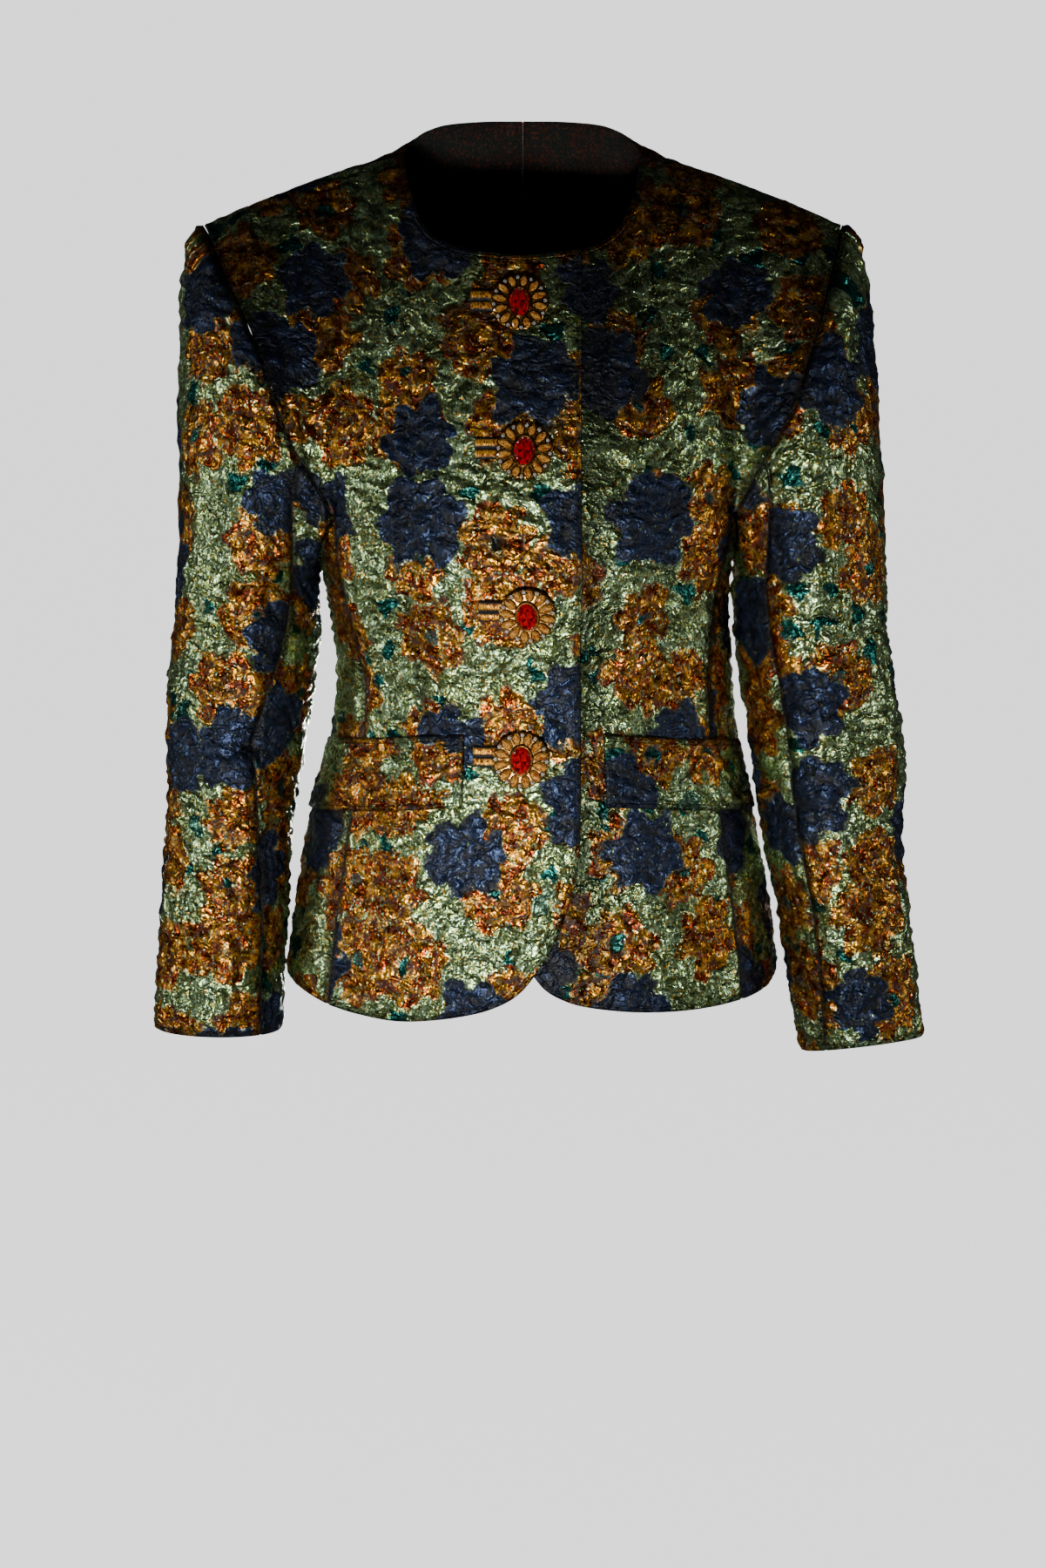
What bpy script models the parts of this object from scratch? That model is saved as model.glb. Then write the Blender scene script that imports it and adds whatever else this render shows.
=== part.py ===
"""Women's jacquard jacket, open and hollow, in the pose it is worn in.

All tables are in millimetres and seen as worn from the front: -X is the side at the left of the
picture (the wearer's right), the front faces -Y and +Z is up.  The origin is the point midway
between the two neck points, where the jacket is held.
"""
import math

import bmesh
import bpy
import numpy as np

# Driving sizes
MM = 0.001
ORIGIN = (0.0, 13.0, -4.0)      # the point midway between the neck points, in table coordinates
WALL = 2.0                      # thickness of the cloth solids
SEAM_GAP = 0.6                  # clear distance between two cut pieces
OVER_GAP = 0.8                  # clear distance of what lies on a panel
CHEST_Z = -242.0                # level where the yoke grid meets the body panels
UNDERARM_Z = -267.0             # lowest point of the armhole
BICEP_Z = -300.0                # level where the sleeve head ends
EDGE_X = 38.0                   # front edge of the upper front
NOTCH_X = 7.5                   # the two front edges mirror each other about this line
BACK_SEAM = 118.0               # angle of the side back seam, from the front
BUTTON_RADIUS = 19.0
BUTTON_PETALS = 12
STONE_HALF = (7.0, 9.5)

# Body sections: level, half width of each side, front depth, back depth, squareness of the ring
BODY = [
    # z, left, right, front, back, power
    (-200.0, 142.0, 152.0, 116.0, 111.0, 2.45),
    (-242.0, 140.0, 150.0, 119.0, 111.0, 2.45),
    (-267.0, 138.0, 145.0, 121.0, 110.0, 2.45),
    (-297.0, 134.0, 140.0, 118.0, 106.0, 2.40),
    (-330.0, 129.0, 141.0, 111.0, 101.0, 2.35),
    (-359.0, 127.0, 143.5, 107.0, 99.0, 2.35),
    (-404.0, 132.0, 148.0, 109.0, 103.0, 2.35),
    (-451.0, 145.0, 158.0, 113.0, 110.0, 2.35),
    (-501.0, 155.0, 168.0, 116.0, 116.0, 2.35),
    (-538.0, 161.0, 174.0, 118.0, 119.0, 2.35),
    (-590.0, 168.0, 179.0, 119.0, 122.0, 2.35),
]
# Side front seam: level, angle from the front on each side
SIDE_SEAM = [
    # z, left, right
    (-242.0, 64.0, 70.5),
    (-321.0, 60.5, 66.5),
    (-374.0, 57.5, 64.5),
    (-450.0, 57.5, 63.5),
    (-590.0, 59.0, 64.0),
]
# Hem: angle from the front, level on each side
HEM = [
    # angle, left, right
    (57.0, -574.0, -572.0),
    (66.0, -569.5, -571.0),
    (78.0, -565.5, -567.5),
    (90.0, -563.5, -562.5),
    (118.0, -566.0, -566.0),
    (180.0, -573.0, -573.0),
]
# Cutaway front edge of the upper front, down to the middle of the rounded corner: x, level
FRONT_EDGE = [(38.0, -242.0), (38.0, -300.0), (38.0, -370.0), (38.0, -440.0), (37.0, -462.0),
              (34.5, -481.0), (30.0, -499.0), (23.5, -517.0), (16.0, -532.0), (8.0, -544.0)]
# The hem from that corner to the side front seam: x, level
HEM_FRONT_LEFT = [(8.0, -544.0), (-1.0, -555.0), (-12.0, -563.0), (-30.0, -570.0), (-58.0, -575.5),
                  (-85.0, -578.0), (-112.0, -576.0)]
HEM_FRONT_RIGHT = [(7.0, -544.0), (15.0, -554.0), (25.0, -560.5), (40.0, -566.0), (62.0, -569.5),
                   (93.0, -572.0), (122.0, -572.5)]
# Half of the neckline, from centre front over the neck point to centre back
NECK_FRONT = [(0.0, -73.0, -69.0), (13.0, -73.0, -68.0), (40.0, -69.5, -64.5), (57.0, -62.0, -58.0),
              (66.5, -52.0, -49.0), (72.0, -41.0, -38.0), (77.0, -22.0, -24.0),
              (79.5, -3.0, -12.0), (81.0, 13.0, -4.0)]
NECK_BACK = [(81.0, 13.0, -4.0), (76.0, 27.0, 3.0), (58.0, 43.0, 12.0), (30.0, 53.0, 15.0),
             (0.0, 56.0, 15.5)]
SHOULDER = [(81.0, 13.0, -4.0), (97.0, 12.0, -9.0), (132.0, 9.0, -19.0), (183.0, 6.0, -38.5),
            (216.0, 4.0, -52.0)]
CENTRE_FRONT = [(0.0, -73.0, -69.0), (0.0, -84.0, -100.0), (0.0, -97.0, -140.0),
                (0.0, -109.0, -185.0), (0.0, -116.5, -220.0), (0.0, -119.0, -242.0)]
CENTRE_BACK = [(0.0, 56.0, 15.5), (0.0, 76.0, -20.0), (0.0, 94.0, -70.0), (0.0, 107.0, -130.0),
               (0.0, 112.0, -190.0), (0.0, 111.0, -242.0)]
# Armholes from the shoulder tip down the front, without the last point on the body ring
ARMHOLE_FRONT = {
    -1: [(216.0, 4.0, -52.0), (206.5, -18.0, -69.0), (198.0, -34.0, -86.0), (190.0, -44.0, -101.0),
         (180.5, -55.0, -119.0), (171.5, -63.5, -138.0), (165.5, -68.5, -156.0),
         (160.0, -71.0, -176.0), (153.0, -71.0, -194.0), (143.0, -69.0, -210.0),
         (134.0, -65.5, -226.0)],
    1: [(216.0, 4.0, -52.0), (213.0, -12.0, -64.0), (208.0, -28.0, -80.0), (202.5, -42.0, -97.0),
        (197.0, -54.0, -116.0), (190.5, -62.5, -135.0), (184.0, -68.5, -154.0),
        (176.0, -71.0, -174.0), (166.5, -70.0, -192.0), (157.5, -66.0, -209.0),
        (149.5, -59.5, -226.0)],
}
ARMHOLE_BACK = {
    -1: [(216.0, 4.0, -52.0), (208.0, 26.0, -70.0), (198.0, 46.0, -98.0), (187.0, 61.0, -132.0),
         (174.0, 69.0, -170.0), (158.0, 70.0, -204.0), (142.0, 66.5, -228.0)],
    1: [(216.0, 4.0, -52.0), (211.0, 26.0, -70.0), (203.0, 46.0, -98.0), (194.0, 61.0, -132.0),
        (183.0, 69.0, -170.0), (167.0, 70.0, -204.0), (151.0, 66.5, -228.0)],
}
# Sleeves: level, outer and inner side from the centre line, middle of the depth, half depth,
# where the front seam lies across the width, rise of the ring to the outside and to the front
SLEEVE = {
    -1: [
        # z, outer, inner, middle, half depth, seam, tilt, lean
        (-300.0, 236.0, 140.5, -2.0, 66.0, 0.84, 0.0, 0.0),
        (-330.0, 238.5, 140.5, -4.0, 64.5, 0.79, 0.0, 0.0),
        (-356.0, 242.0, 143.0, -6.0, 63.0, 0.74, 0.0, 0.0),
        (-382.0, 243.5, 147.5, -8.0, 61.0, 0.68, 0.0, 0.0),
        (-407.0, 243.5, 150.5, -10.0, 59.0, 0.67, 0.0, 0.0),
        (-436.0, 244.0, 156.0, -13.0, 56.5, 0.73, 0.5, 0.5),
        (-470.0, 246.0, 160.0, -17.0, 53.5, 0.79, 1.0, 1.0),
        (-519.0, 250.0, 163.5, -22.0, 50.0, 0.84, 1.0, 1.5),
        (-569.0, 253.0, 166.5, -27.0, 46.5, 0.86, 1.0, 2.0),
        (-601.0, 255.5, 167.0, -30.0, 43.0, 0.86, 1.0, 2.5),
    ],
    1: [
        (-300.0, 248.5, 145.0, -4.0, 68.0, 0.82, 0.0, 0.0),
        (-330.0, 250.5, 146.5, -6.0, 66.0, 0.80, 0.0, 0.0),
        (-356.0, 253.5, 150.0, -8.0, 64.5, 0.79, 0.0, 0.0),
        (-382.0, 258.5, 154.5, -10.0, 62.5, 0.775, 0.0, 0.0),
        (-407.0, 262.0, 158.0, -12.0, 60.5, 0.78, 1.0, 0.0),
        (-436.0, 262.5, 161.5, -15.0, 58.0, 0.79, 2.0, 1.0),
        (-470.0, 260.5, 167.5, -19.0, 54.5, 0.77, 3.5, 3.0),
        (-519.0, 266.0, 178.0, -24.0, 51.0, 0.77, 4.5, 5.0),
        (-569.0, 272.0, 186.0, -29.0, 47.0, 0.80, 5.5, 7.0),
        (-612.0, 278.0, 194.0, -33.0, 43.0, 0.84, 5.5, 8.0),
    ],
}
SLEEVE_BACK_ANGLE = 122.0       # where the back seam lies round the sleeve
# Soft creases and folds: region, start, end, half width, height (minus is a trough)
CREASES = [
    # region, start, end, width, height
    ("sleeve", (-160.0, -62.0, -404.0), (-205.0, -70.0, -392.0), 9.0, -3.0),
    ("sleeve", (-160.0, -62.0, -422.0), (-212.0, -70.0, -416.0), 10.0, 2.0),
    ("sleeve", (-232.0, -40.0, -352.0), (-190.0, -66.0, -372.0), 11.0, -2.0),
    ("sleeve", (-232.0, -50.0, -470.0), (-190.0, -72.0, -452.0), 11.0, -2.0),
    ("sleeve", (176.0, -66.0, -352.0), (232.0, -60.0, -372.0), 11.0, -2.5),
    ("sleeve", (186.0, -66.0, -396.0), (256.0, -50.0, -404.0), 11.0, 2.0),
    ("sleeve", (186.0, -66.0, -440.0), (258.0, -50.0, -452.0), 10.0, -3.0),
    ("sleeve", (-172.0, -62.0, -232.0), (-206.0, -62.0, -300.0), 12.0, -2.5),
    ("sleeve", (182.0, -62.0, -226.0), (212.0, -62.0, -300.0), 12.0, -2.5),
    ("body", (-132.0, -64.0, -236.0), (-98.0, -92.0, -262.0), 11.0, -2.5),
    ("body", (140.0, -62.0, -236.0), (108.0, -92.0, -262.0), 11.0, -2.5),
    ("body", (-118.0, -60.0, -352.0), (-70.0, -96.0, -362.0), 11.0, -1.8),
    ("body", (130.0, -60.0, -352.0), (88.0, -96.0, -364.0), 11.0, -1.8),
]
# Pocket flaps: side, x of the front edge, top level there, how far they drop towards the side
FLAPS = [
    # name, side, front x, top, drop, height, end angle
    ("flap_right", -1, -39.0, -383.0, 19.0, 48.0, 86.0),
    ("flap_left", 1, 54.0, -384.0, 18.0, 47.0, 84.0),
]
FLAP_LIFT = 1.2                 # how far the lower edge of a flap stands off
# Buttons on the centre line: x, level, turn in degrees
BUTTONS = [
    # x, z, turn
    (-2.0, -100.0, 4.0),
    (1.0, -194.0, -6.0),
    (3.0, -300.0, 8.0),
    (-1.0, -399.0, -3.0),
]
# Bound buttonholes: reach to each side of the button, how far above its middle they lie, and the
# section over the two lips
HOLE_LEFT = 32.0
HOLE_RIGHT = 5.0
HOLE_RISE = 2.0
LIP_PROFILE = [
    # height from the slit, thickness
    (-7.0, 0.5), (-5.2, 1.5), (-1.6, 1.5), (0.0, 0.8), (1.6, 1.5), (5.2, 1.5), (7.0, 0.5),
]
# Button section: rings of the setting, and the height of its plate, centre and petals
SETTING_RINGS = (7.0, 9.2, 11.0, 13.2, 15.4, 17.4, BUTTON_RADIUS)
PLATE_HEIGHT = 2.2
CENTRE_HEIGHT = 3.2
PETAL_RISE = 2.6
PETAL_MIDDLE = 13.9
PETAL_HALF = (5.4, 2.6)         # half length along the radius and half width
STONE_SECTION = [
    # share of the outline, height
    (0.86, 3.8), (1.0, 4.6), (0.78, 6.4), (0.46, 7.2),
]
STONE_SIDES = 16
# Grid counts
HOLE_COLS = 6
FLAP_COLS = 16
FLAP_ROWS = 4
EDGE_COLS = 2
CHEST_COLS = 8
ARM_FRONT_COLS = 11
ARM_BACK_COLS = 9
BACK_COLS = 7
SIDE_COLS = 6
YOKE_ROWS = 10
BODY_ROWS = 17
SLEEVE_FRONT_SEAM = 2           # armhole columns from the side panel to the front sleeve seam
SLEEVE_BACK_SEAM = 5            # armhole columns from the shoulder tip to the back sleeve seam
SLEEVE_HEAD_ROWS = 7
SLEEVE_ROWS = 14

MATERIALS = {
    "cloth": ((0.075, 0.080, 0.060), 0.0, 0.75),
    "gold": ((0.62, 0.45, 0.22), 1.0, 0.35),
    "red_stone": ((0.45, 0.02, 0.03), 0.0, 0.10),
}


def smooth_table(rows, key, column):
    """Value of one column at a level, along a smooth curve through the rows."""
    keys = np.array([row[0] for row in rows], float)
    values = np.array([row[column] for row in rows], float)
    if keys[0] > keys[-1]:
        keys = keys[::-1]
        values = values[::-1]
    slopes = np.gradient(values, keys)
    key = np.clip(np.asarray(key, float), keys[0], keys[-1])
    i = np.clip(np.searchsorted(keys, key) - 1, 0, len(keys) - 2)
    span = keys[i + 1] - keys[i]
    t = (key - keys[i]) / span
    return ((2 * t ** 3 - 3 * t ** 2 + 1) * values[i] + (t ** 3 - 2 * t ** 2 + t) * span * slopes[i]
            + (3 * t ** 2 - 2 * t ** 3) * values[i + 1] + (t ** 3 - t ** 2) * span * slopes[i + 1])


class Path:
    """A smooth curve through points, walked by share of its length."""

    def __init__(self, points, steps=16):
        p = np.array(points, float)
        ends = np.vstack([2 * p[0] - p[1], p, 2 * p[-1] - p[-2]])
        dense = []
        for k in range(1, len(ends) - 2):
            a, b, c, d = ends[k - 1], ends[k], ends[k + 1], ends[k + 2]
            for t in np.linspace(0, 1, steps, endpoint=False):
                dense.append(0.5 * (2 * b + (c - a) * t + (2 * a - 5 * b + 4 * c - d) * t ** 2
                                    + (3 * b - a - 3 * c + d) * t ** 3))
        dense.append(p[-1])
        self.points = np.array(dense)
        lengths = np.linalg.norm(np.diff(self.points, axis=0), axis=1)
        self.share = np.concatenate([[0], np.cumsum(lengths)])
        self.length = self.share[-1]
        self.share /= self.length

    def at(self, share):
        share = np.clip(share, 0, 1)
        return np.stack([np.interp(share, self.share, self.points[:, k])
                         for k in range(self.points.shape[1])], axis=-1)

    def share_where(self, axis, value):
        column = self.points[:, axis]
        order = np.argsort(column)
        return float(np.interp(value, column[order], self.share[order]))


def side_column(side):
    return 1 if side < 0 else 2


def ring_size(side, z):
    half = smooth_table(BODY, z, side_column(side))
    front = smooth_table(BODY, z, 3)
    back = smooth_table(BODY, z, 4)
    power = smooth_table(BODY, z, 5)
    return half, front, back, power


def body_point(angle, z):
    """Point of the outer body surface; the signed angle runs from centre front to the back."""
    angle = np.asarray(angle, float)
    z = np.asarray(z, float) + 0 * angle
    angle = angle + 0 * z
    turn = np.radians(angle)
    wide = np.where(angle < 0, ring_size(-1, z)[0], ring_size(1, z)[0])
    _, front, back, power = ring_size(1, z)
    deep = np.where(np.abs(angle) <= 90, front, back)
    radius = ((np.abs(np.cos(turn)) / deep) ** power
              + (np.abs(np.sin(turn)) / wide) ** power) ** (-1 / power)
    return np.stack([radius * np.sin(turn), -radius * np.cos(turn), z], axis=-1)


def angle_at_x(x, z):
    """Signed angle of the front surface point with this x."""
    half, front, _, power = ring_size(-1 if x < 0 else 1, z)
    y = front * (1 - (abs(x) / half) ** power) ** (1 / power)
    return math.degrees(math.atan2(x, y))


def seam_angle(side, z):
    return side * smooth_table(SIDE_SEAM, z, side_column(side))


def mirrored(points, side):
    return [(side * x, y, z) for x, y, z in points]


def side_curves(side):
    """Neckline, chest row, armhole and shoulder of one side, as paths of the yoke grid."""
    seam = float(seam_angle(side, CHEST_Z))
    tip_front = mirrored(ARMHOLE_FRONT[side], side) + [tuple(body_point(seam, CHEST_Z))]
    tip_back = mirrored(ARMHOLE_BACK[side], side) + [tuple(body_point(side * BACK_SEAM, CHEST_Z))]
    return {
        "neck_front": Path(mirrored(NECK_FRONT, side)),
        "neck_back": Path(mirrored(NECK_BACK, side)),
        "arm_front": Path(tip_front),
        "arm_back": Path(tip_back),
        "seam": seam,
    }


def ring_angles(start, end, count):
    """Angles of points spread evenly along the chest ring."""
    angles = np.linspace(start, end, 60)
    points = body_point(angles, CHEST_Z)
    steps = np.concatenate([[0], np.cumsum(np.linalg.norm(np.diff(points, axis=0), axis=1))])
    return np.interp(np.linspace(0, steps[-1], count + 1), steps, angles)


def half_yoke(side):
    """Neck points, outer points and the body angle of each column, centre front to centre back."""
    curves = side_curves(side)
    edge_x = EDGE_X if side > 0 else 2 * NOTCH_X - EDGE_X
    neck_edge = curves["neck_front"].share_where(0, edge_x)
    neck_seam = 0.56
    edge_angle = angle_at_x(edge_x, CHEST_Z)
    neck, outer, angles = [], [], []

    def add(neck_points, outer_points, ring):
        neck.extend(neck_points)
        outer.extend(outer_points)
        angles.extend(ring)

    share = np.linspace(0, 1, EDGE_COLS + 1)[:-1]
    ring = np.array([angle_at_x(edge_x * s, CHEST_Z) for s in share])
    add(curves["neck_front"].at(np.array([curves["neck_front"].share_where(0, edge_x * s)
                                          for s in share])), body_point(ring, CHEST_Z), ring)
    ring = ring_angles(edge_angle, curves["seam"], CHEST_COLS)[:-1]
    share = np.linspace(neck_edge, neck_seam, CHEST_COLS + 1)[:-1]
    add(curves["neck_front"].at(share), body_point(ring, CHEST_Z), ring)
    share = np.linspace(0, 1, ARM_FRONT_COLS + 1)[:-1]
    add(curves["neck_front"].at(neck_seam + (1 - neck_seam) * share),
        curves["arm_front"].at(1 - share), [curves["seam"]] + [None] * (ARM_FRONT_COLS - 1))
    share = np.linspace(0, 1, ARM_BACK_COLS + 1)[:-1]
    add(curves["neck_back"].at(0.45 * share), curves["arm_back"].at(share),
        [None] * ARM_BACK_COLS)
    share = np.linspace(0, 1, BACK_COLS + 1)
    ring = ring_angles(side * BACK_SEAM, side * 180.0, BACK_COLS)
    add(curves["neck_back"].at(0.45 + 0.55 * share), body_point(ring, CHEST_Z), ring)
    return np.array(neck), np.array(outer), angles


def yoke_grid():
    """The cloth above the chest line as rings about the neck; solved to bend as little as it can.

    Column 0 is centre front; columns run round the +X side to the centre back and on.
    """
    right_neck, right_outer, right_ring = half_yoke(1)
    left_neck, left_outer, left_ring = half_yoke(-1)
    half = len(right_neck) - 1
    neck = np.vstack([right_neck[:-1], left_neck[::-1][:-1]])
    outer = np.vstack([right_outer[:-1], left_outer[::-1][:-1]])
    ring = right_ring[:-1] + left_ring[::-1][:-1]
    count = 2 * half
    rows = YOKE_ROWS
    fixed = {}
    for i in range(count):
        fixed[i, 0] = neck[i]
        fixed[i, rows] = outer[i]
        if ring[i] is not None:
            fixed[i, rows + 1] = body_point(ring[i], CHEST_Z - 17.0)
    tip = EDGE_COLS + CHEST_COLS + ARM_FRONT_COLS
    lines = {0: Path(CENTRE_FRONT), half: Path(CENTRE_BACK),
             tip: Path(mirrored(SHOULDER, 1)), count - tip: Path(mirrored(SHOULDER, -1))}
    for column, path in lines.items():
        for j in range(1, rows):
            fixed[column, j] = path.at(j / rows)
    for column in range(-EDGE_COLS, EDGE_COLS + 1):
        for j in range(1, rows):
            share = j / rows
            fixed[column % count, j] = (lines[0].at(share)
                                        + (1 - share) * (neck[column % count] - neck[0])
                                        + share * (outer[column % count] - outer[0]))
    free = [(i, j) for i in range(count) for j in range(1, rows) if (i, j) not in fixed]
    place = {cell: k for k, cell in enumerate(free)}
    equations = []

    def bend(cells, weights, strength):
        equations.append([(((i % count), j), w * strength) for (i, j), w in zip(cells, weights)])

    for i in range(count):
        for j in range(1, rows + 1):
            if j < rows or ((i, rows + 1) in fixed):
                bend([(i, j - 1), (i, j), (i, j + 1)], (1, -2, 1), 1.0)
            if j < rows:
                bend([(i - 1, j), (i, j), (i + 1, j)], (1, -2, 1), 1.0)
                bend([(i, j), (i + 1, j), (i, j + 1), (i + 1, j + 1)], (1, -1, -1, 1), 0.3)
    matrix = np.zeros((len(equations), len(free)))
    target = np.zeros((len(equations), 3))
    for row, terms in enumerate(equations):
        for cell, weight in terms:
            if cell in place:
                matrix[row, place[cell]] += weight
            else:
                target[row] -= weight * np.asarray(fixed[cell])
    solved = np.linalg.lstsq(matrix, target, rcond=None)[0]
    grid = np.zeros((count, rows + 1, 3))
    for i in range(count):
        for j in range(rows + 1):
            grid[i, j] = solved[place[i, j]] if (i, j) in place else fixed[i, j]
    return grid, ring, half, tip


def patch_between(top, bottom, left, right):
    """Fill a four sided patch of the (angle, level) plane from its borders."""
    columns, rows = len(top), len(left)
    u = np.linspace(0, 1, columns)[:, None, None]
    v = np.linspace(0, 1, rows)[None, :, None]
    top, bottom = np.array(top)[:, None, :], np.array(bottom)[:, None, :]
    left, right = np.array(left)[None, :, :], np.array(right)[None, :, :]
    corners = ((1 - u) * (1 - v) * top[0] + u * (1 - v) * top[-1]
               + (1 - u) * v * bottom[0] + u * v * bottom[-1])
    return (1 - v) * top + v * bottom + (1 - u) * left + u * right - corners


def hem_level(side, angle):
    return float(smooth_table(HEM, abs(angle), side_column(side)))


def seam_foot(side):
    """Angle and level where the side front seam meets the hem."""
    angle = float(seam_angle(side, -574.0))
    return angle, hem_level(side, angle)


def front_patch(side, ring):
    """Body part of a front in the (angle, level) plane, from its front edge to the side seam."""
    shares = np.linspace(0, 1, BODY_ROWS + 1)
    if side < 0:
        edge = Path([(angle_at_x(x, z), z) for x, z in FRONT_EDGE])
        hem = [(angle_at_x(x, z), z) for x, z in HEM_FRONT_LEFT] + [seam_foot(side)]
    else:
        edge = Path([(angle_at_x(2 * NOTCH_X - x, z), z) for x, z in FRONT_EDGE])
        hem = [(angle_at_x(x, z), z) for x, z in HEM_FRONT_RIGHT] + [seam_foot(side)]
    top = [(angle, CHEST_Z) for angle in ring]
    lengths = np.abs(np.diff(ring))
    along = np.concatenate([[0], np.cumsum(lengths)]) / lengths.sum()
    foot_angle, foot_z = seam_foot(side)
    levels = np.linspace(CHEST_Z, foot_z, BODY_ROWS + 1)
    right = [(float(seam_angle(side, z)), z) for z in levels]
    right[-1] = (foot_angle, foot_z)
    return patch_between(top, Path(hem).at(along), edge.at(shares), right)


def armhole_foot(side, share):
    """Angle and level along the bottom of the armhole, from the front to the back corner."""
    start = float(seam_angle(side, CHEST_Z))
    end = side * BACK_SEAM
    angle = start + (end - start) * share
    level = UNDERARM_Z + (CHEST_Z - UNDERARM_Z) * (2 * share - 1) ** 2
    return angle, level


def side_patch(side):
    shares = np.linspace(0, 1, SIDE_COLS + 1)
    top = [armhole_foot(side, s) for s in shares]
    foot_angle, foot_z = seam_foot(side)
    angles = foot_angle + (side * BACK_SEAM - foot_angle) * shares
    bottom = [(a, hem_level(side, a)) for a in angles]
    bottom[0] = (foot_angle, foot_z)
    levels = np.linspace(CHEST_Z, foot_z, BODY_ROWS + 1)
    left = [(float(seam_angle(side, z)), z) for z in levels]
    left[-1] = (foot_angle, foot_z)
    levels = np.linspace(CHEST_Z, bottom[-1][1], BODY_ROWS + 1)
    right = [(side * BACK_SEAM, z) for z in levels]
    return patch_between(top, bottom, left, right)


def back_patch(side, ring):
    top = [(angle, CHEST_Z) for angle in ring]
    bottom = [(angle, hem_level(side, angle)) for angle in ring]
    left = [(ring[0], z) for z in np.linspace(CHEST_Z, bottom[0][1], BODY_ROWS + 1)]
    right = [(ring[-1], z) for z in np.linspace(CHEST_Z, bottom[-1][1], BODY_ROWS + 1)]
    return patch_between(top, bottom, left, right)


def on_body(patch):
    return body_point(patch[..., 0], patch[..., 1])


def add_creases(points, normals, region):
    """Move points out or in along the soft creases of their region."""
    lift = np.zeros(len(points))
    for part, start, end, width, height in CREASES:
        if part != region:
            continue
        a, b = np.array(start), np.array(end)
        along = np.clip(((points - a) @ (b - a)) / ((b - a) @ (b - a)), 0, 1)
        away = np.linalg.norm(points - (a + along[:, None] * (b - a)), axis=1)
        lift += height * np.exp(-(away / width) ** 2)
    return points + normals * lift[:, None]


def sleeve_start(side):
    """Armhole points that the sleeve grows from, at the columns of the body: tip, front, foot,
    back; with the column number of the front seam, the foot, the back seam and the tip again."""
    curves = side_curves(side)
    front = curves["arm_front"].at(np.linspace(0, 1, ARM_FRONT_COLS + 1))[:-1]
    shares = np.linspace(0, 1, SIDE_COLS + 1)[:-1]
    foot = body_point(*np.array([armhole_foot(side, s) for s in shares]).T)
    back = curves["arm_back"].at(np.linspace(1, 0, ARM_BACK_COLS + 1))[:-1]
    lowest = ARM_FRONT_COLS + SIDE_COLS // 2
    back_seam = ARM_FRONT_COLS + SIDE_COLS + ARM_BACK_COLS - SLEEVE_BACK_SEAM
    total = ARM_FRONT_COLS + SIDE_COLS + ARM_BACK_COLS
    knots = [0, ARM_FRONT_COLS - SLEEVE_FRONT_SEAM, lowest, back_seam, total]
    return np.vstack([front, foot, back]), knots


def sleeve_section(side, z, angle):
    """Point of the sleeve ring at a level; the angle runs from outside over the front."""
    outer, inner, middle, deep, _, tilt, lean = [smooth_table(SLEEVE[side], z, k)
                                                 for k in range(1, 8)]
    turn = np.radians(angle)
    across = (outer + inner) / 2 + (outer - inner) / 2 * np.cos(turn)
    shape = np.sign(np.sin(turn)) * np.abs(np.sin(turn)) ** 0.92
    rise = tilt * np.cos(turn) + lean * np.sin(turn)
    return np.stack([side * across, middle - deep * shape, z + rise], axis=-1)


def seam_turn(side, z):
    share = smooth_table(SLEEVE[side], z, 5)
    return np.degrees(np.arccos(1 - 2 * share))


def sleeve_grid(side):
    """Sleeve columns from the shoulder tip round the front, rows from the armhole to the cuff."""
    start, knots = sleeve_start(side)
    columns_knot = np.interp(range(knots[-1]), knots, range(5))
    radial = start - start.mean(axis=0)
    radial[:, 0] = 0
    radial /= np.linalg.norm(radial, axis=1)[:, None]
    up = np.clip(radial[:, 2], 0, 1)
    down = np.clip(-radial[:, 2], 0, 1)
    leave = np.stack([side * (0.9 - 0.4 * down), 0.42 * radial[:, 1],
                      0.27 * up ** 2 - 0.15 * (1 - up) * (1 - down) - 0.85 * down], axis=-1)
    leave /= np.linalg.norm(leave, axis=1)[:, None]
    clear = np.stack([side * np.ones(len(start)), radial[:, 1] * (1 - down),
                      np.abs(radial[:, 2])], axis=-1)
    start = start + 1.5 * SEAM_GAP * clear / np.linalg.norm(clear, axis=1)[:, None]

    def angles_at(z):
        front_turn = seam_turn(side, z)
        turns = [0.0, front_turn, 180.0, 360.0 - SLEEVE_BACK_ANGLE, 360.0]
        return np.interp(columns_knot, range(5), turns)

    rows = [start]
    bicep = sleeve_section(side, BICEP_Z, angles_at(BICEP_Z))
    below = sleeve_section(side, BICEP_Z - 6, angles_at(BICEP_Z - 6))
    fall = (below - bicep) / np.linalg.norm(below - bicep, axis=1)[:, None]
    reach = np.linalg.norm(bicep - start, axis=1)[:, None]
    push = np.clip(reach * 0.5, 12, 40) + 36 * up[:, None] ** 2
    for row in range(1, SLEEVE_HEAD_ROWS):
        t = (row / SLEEVE_HEAD_ROWS) ** 1.25
        rows.append((2 * t ** 3 - 3 * t ** 2 + 1) * start + (t ** 3 - 2 * t ** 2 + t) * leave * push
                    + (3 * t ** 2 - 2 * t ** 3) * bicep + (t ** 3 - t ** 2) * fall * reach * 0.8)
    for z in np.linspace(BICEP_Z, SLEEVE[side][-1][0], SLEEVE_ROWS + 1):
        rows.append(sleeve_section(side, z, angles_at(z)))
    return np.stack(rows, axis=1), knots


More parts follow.
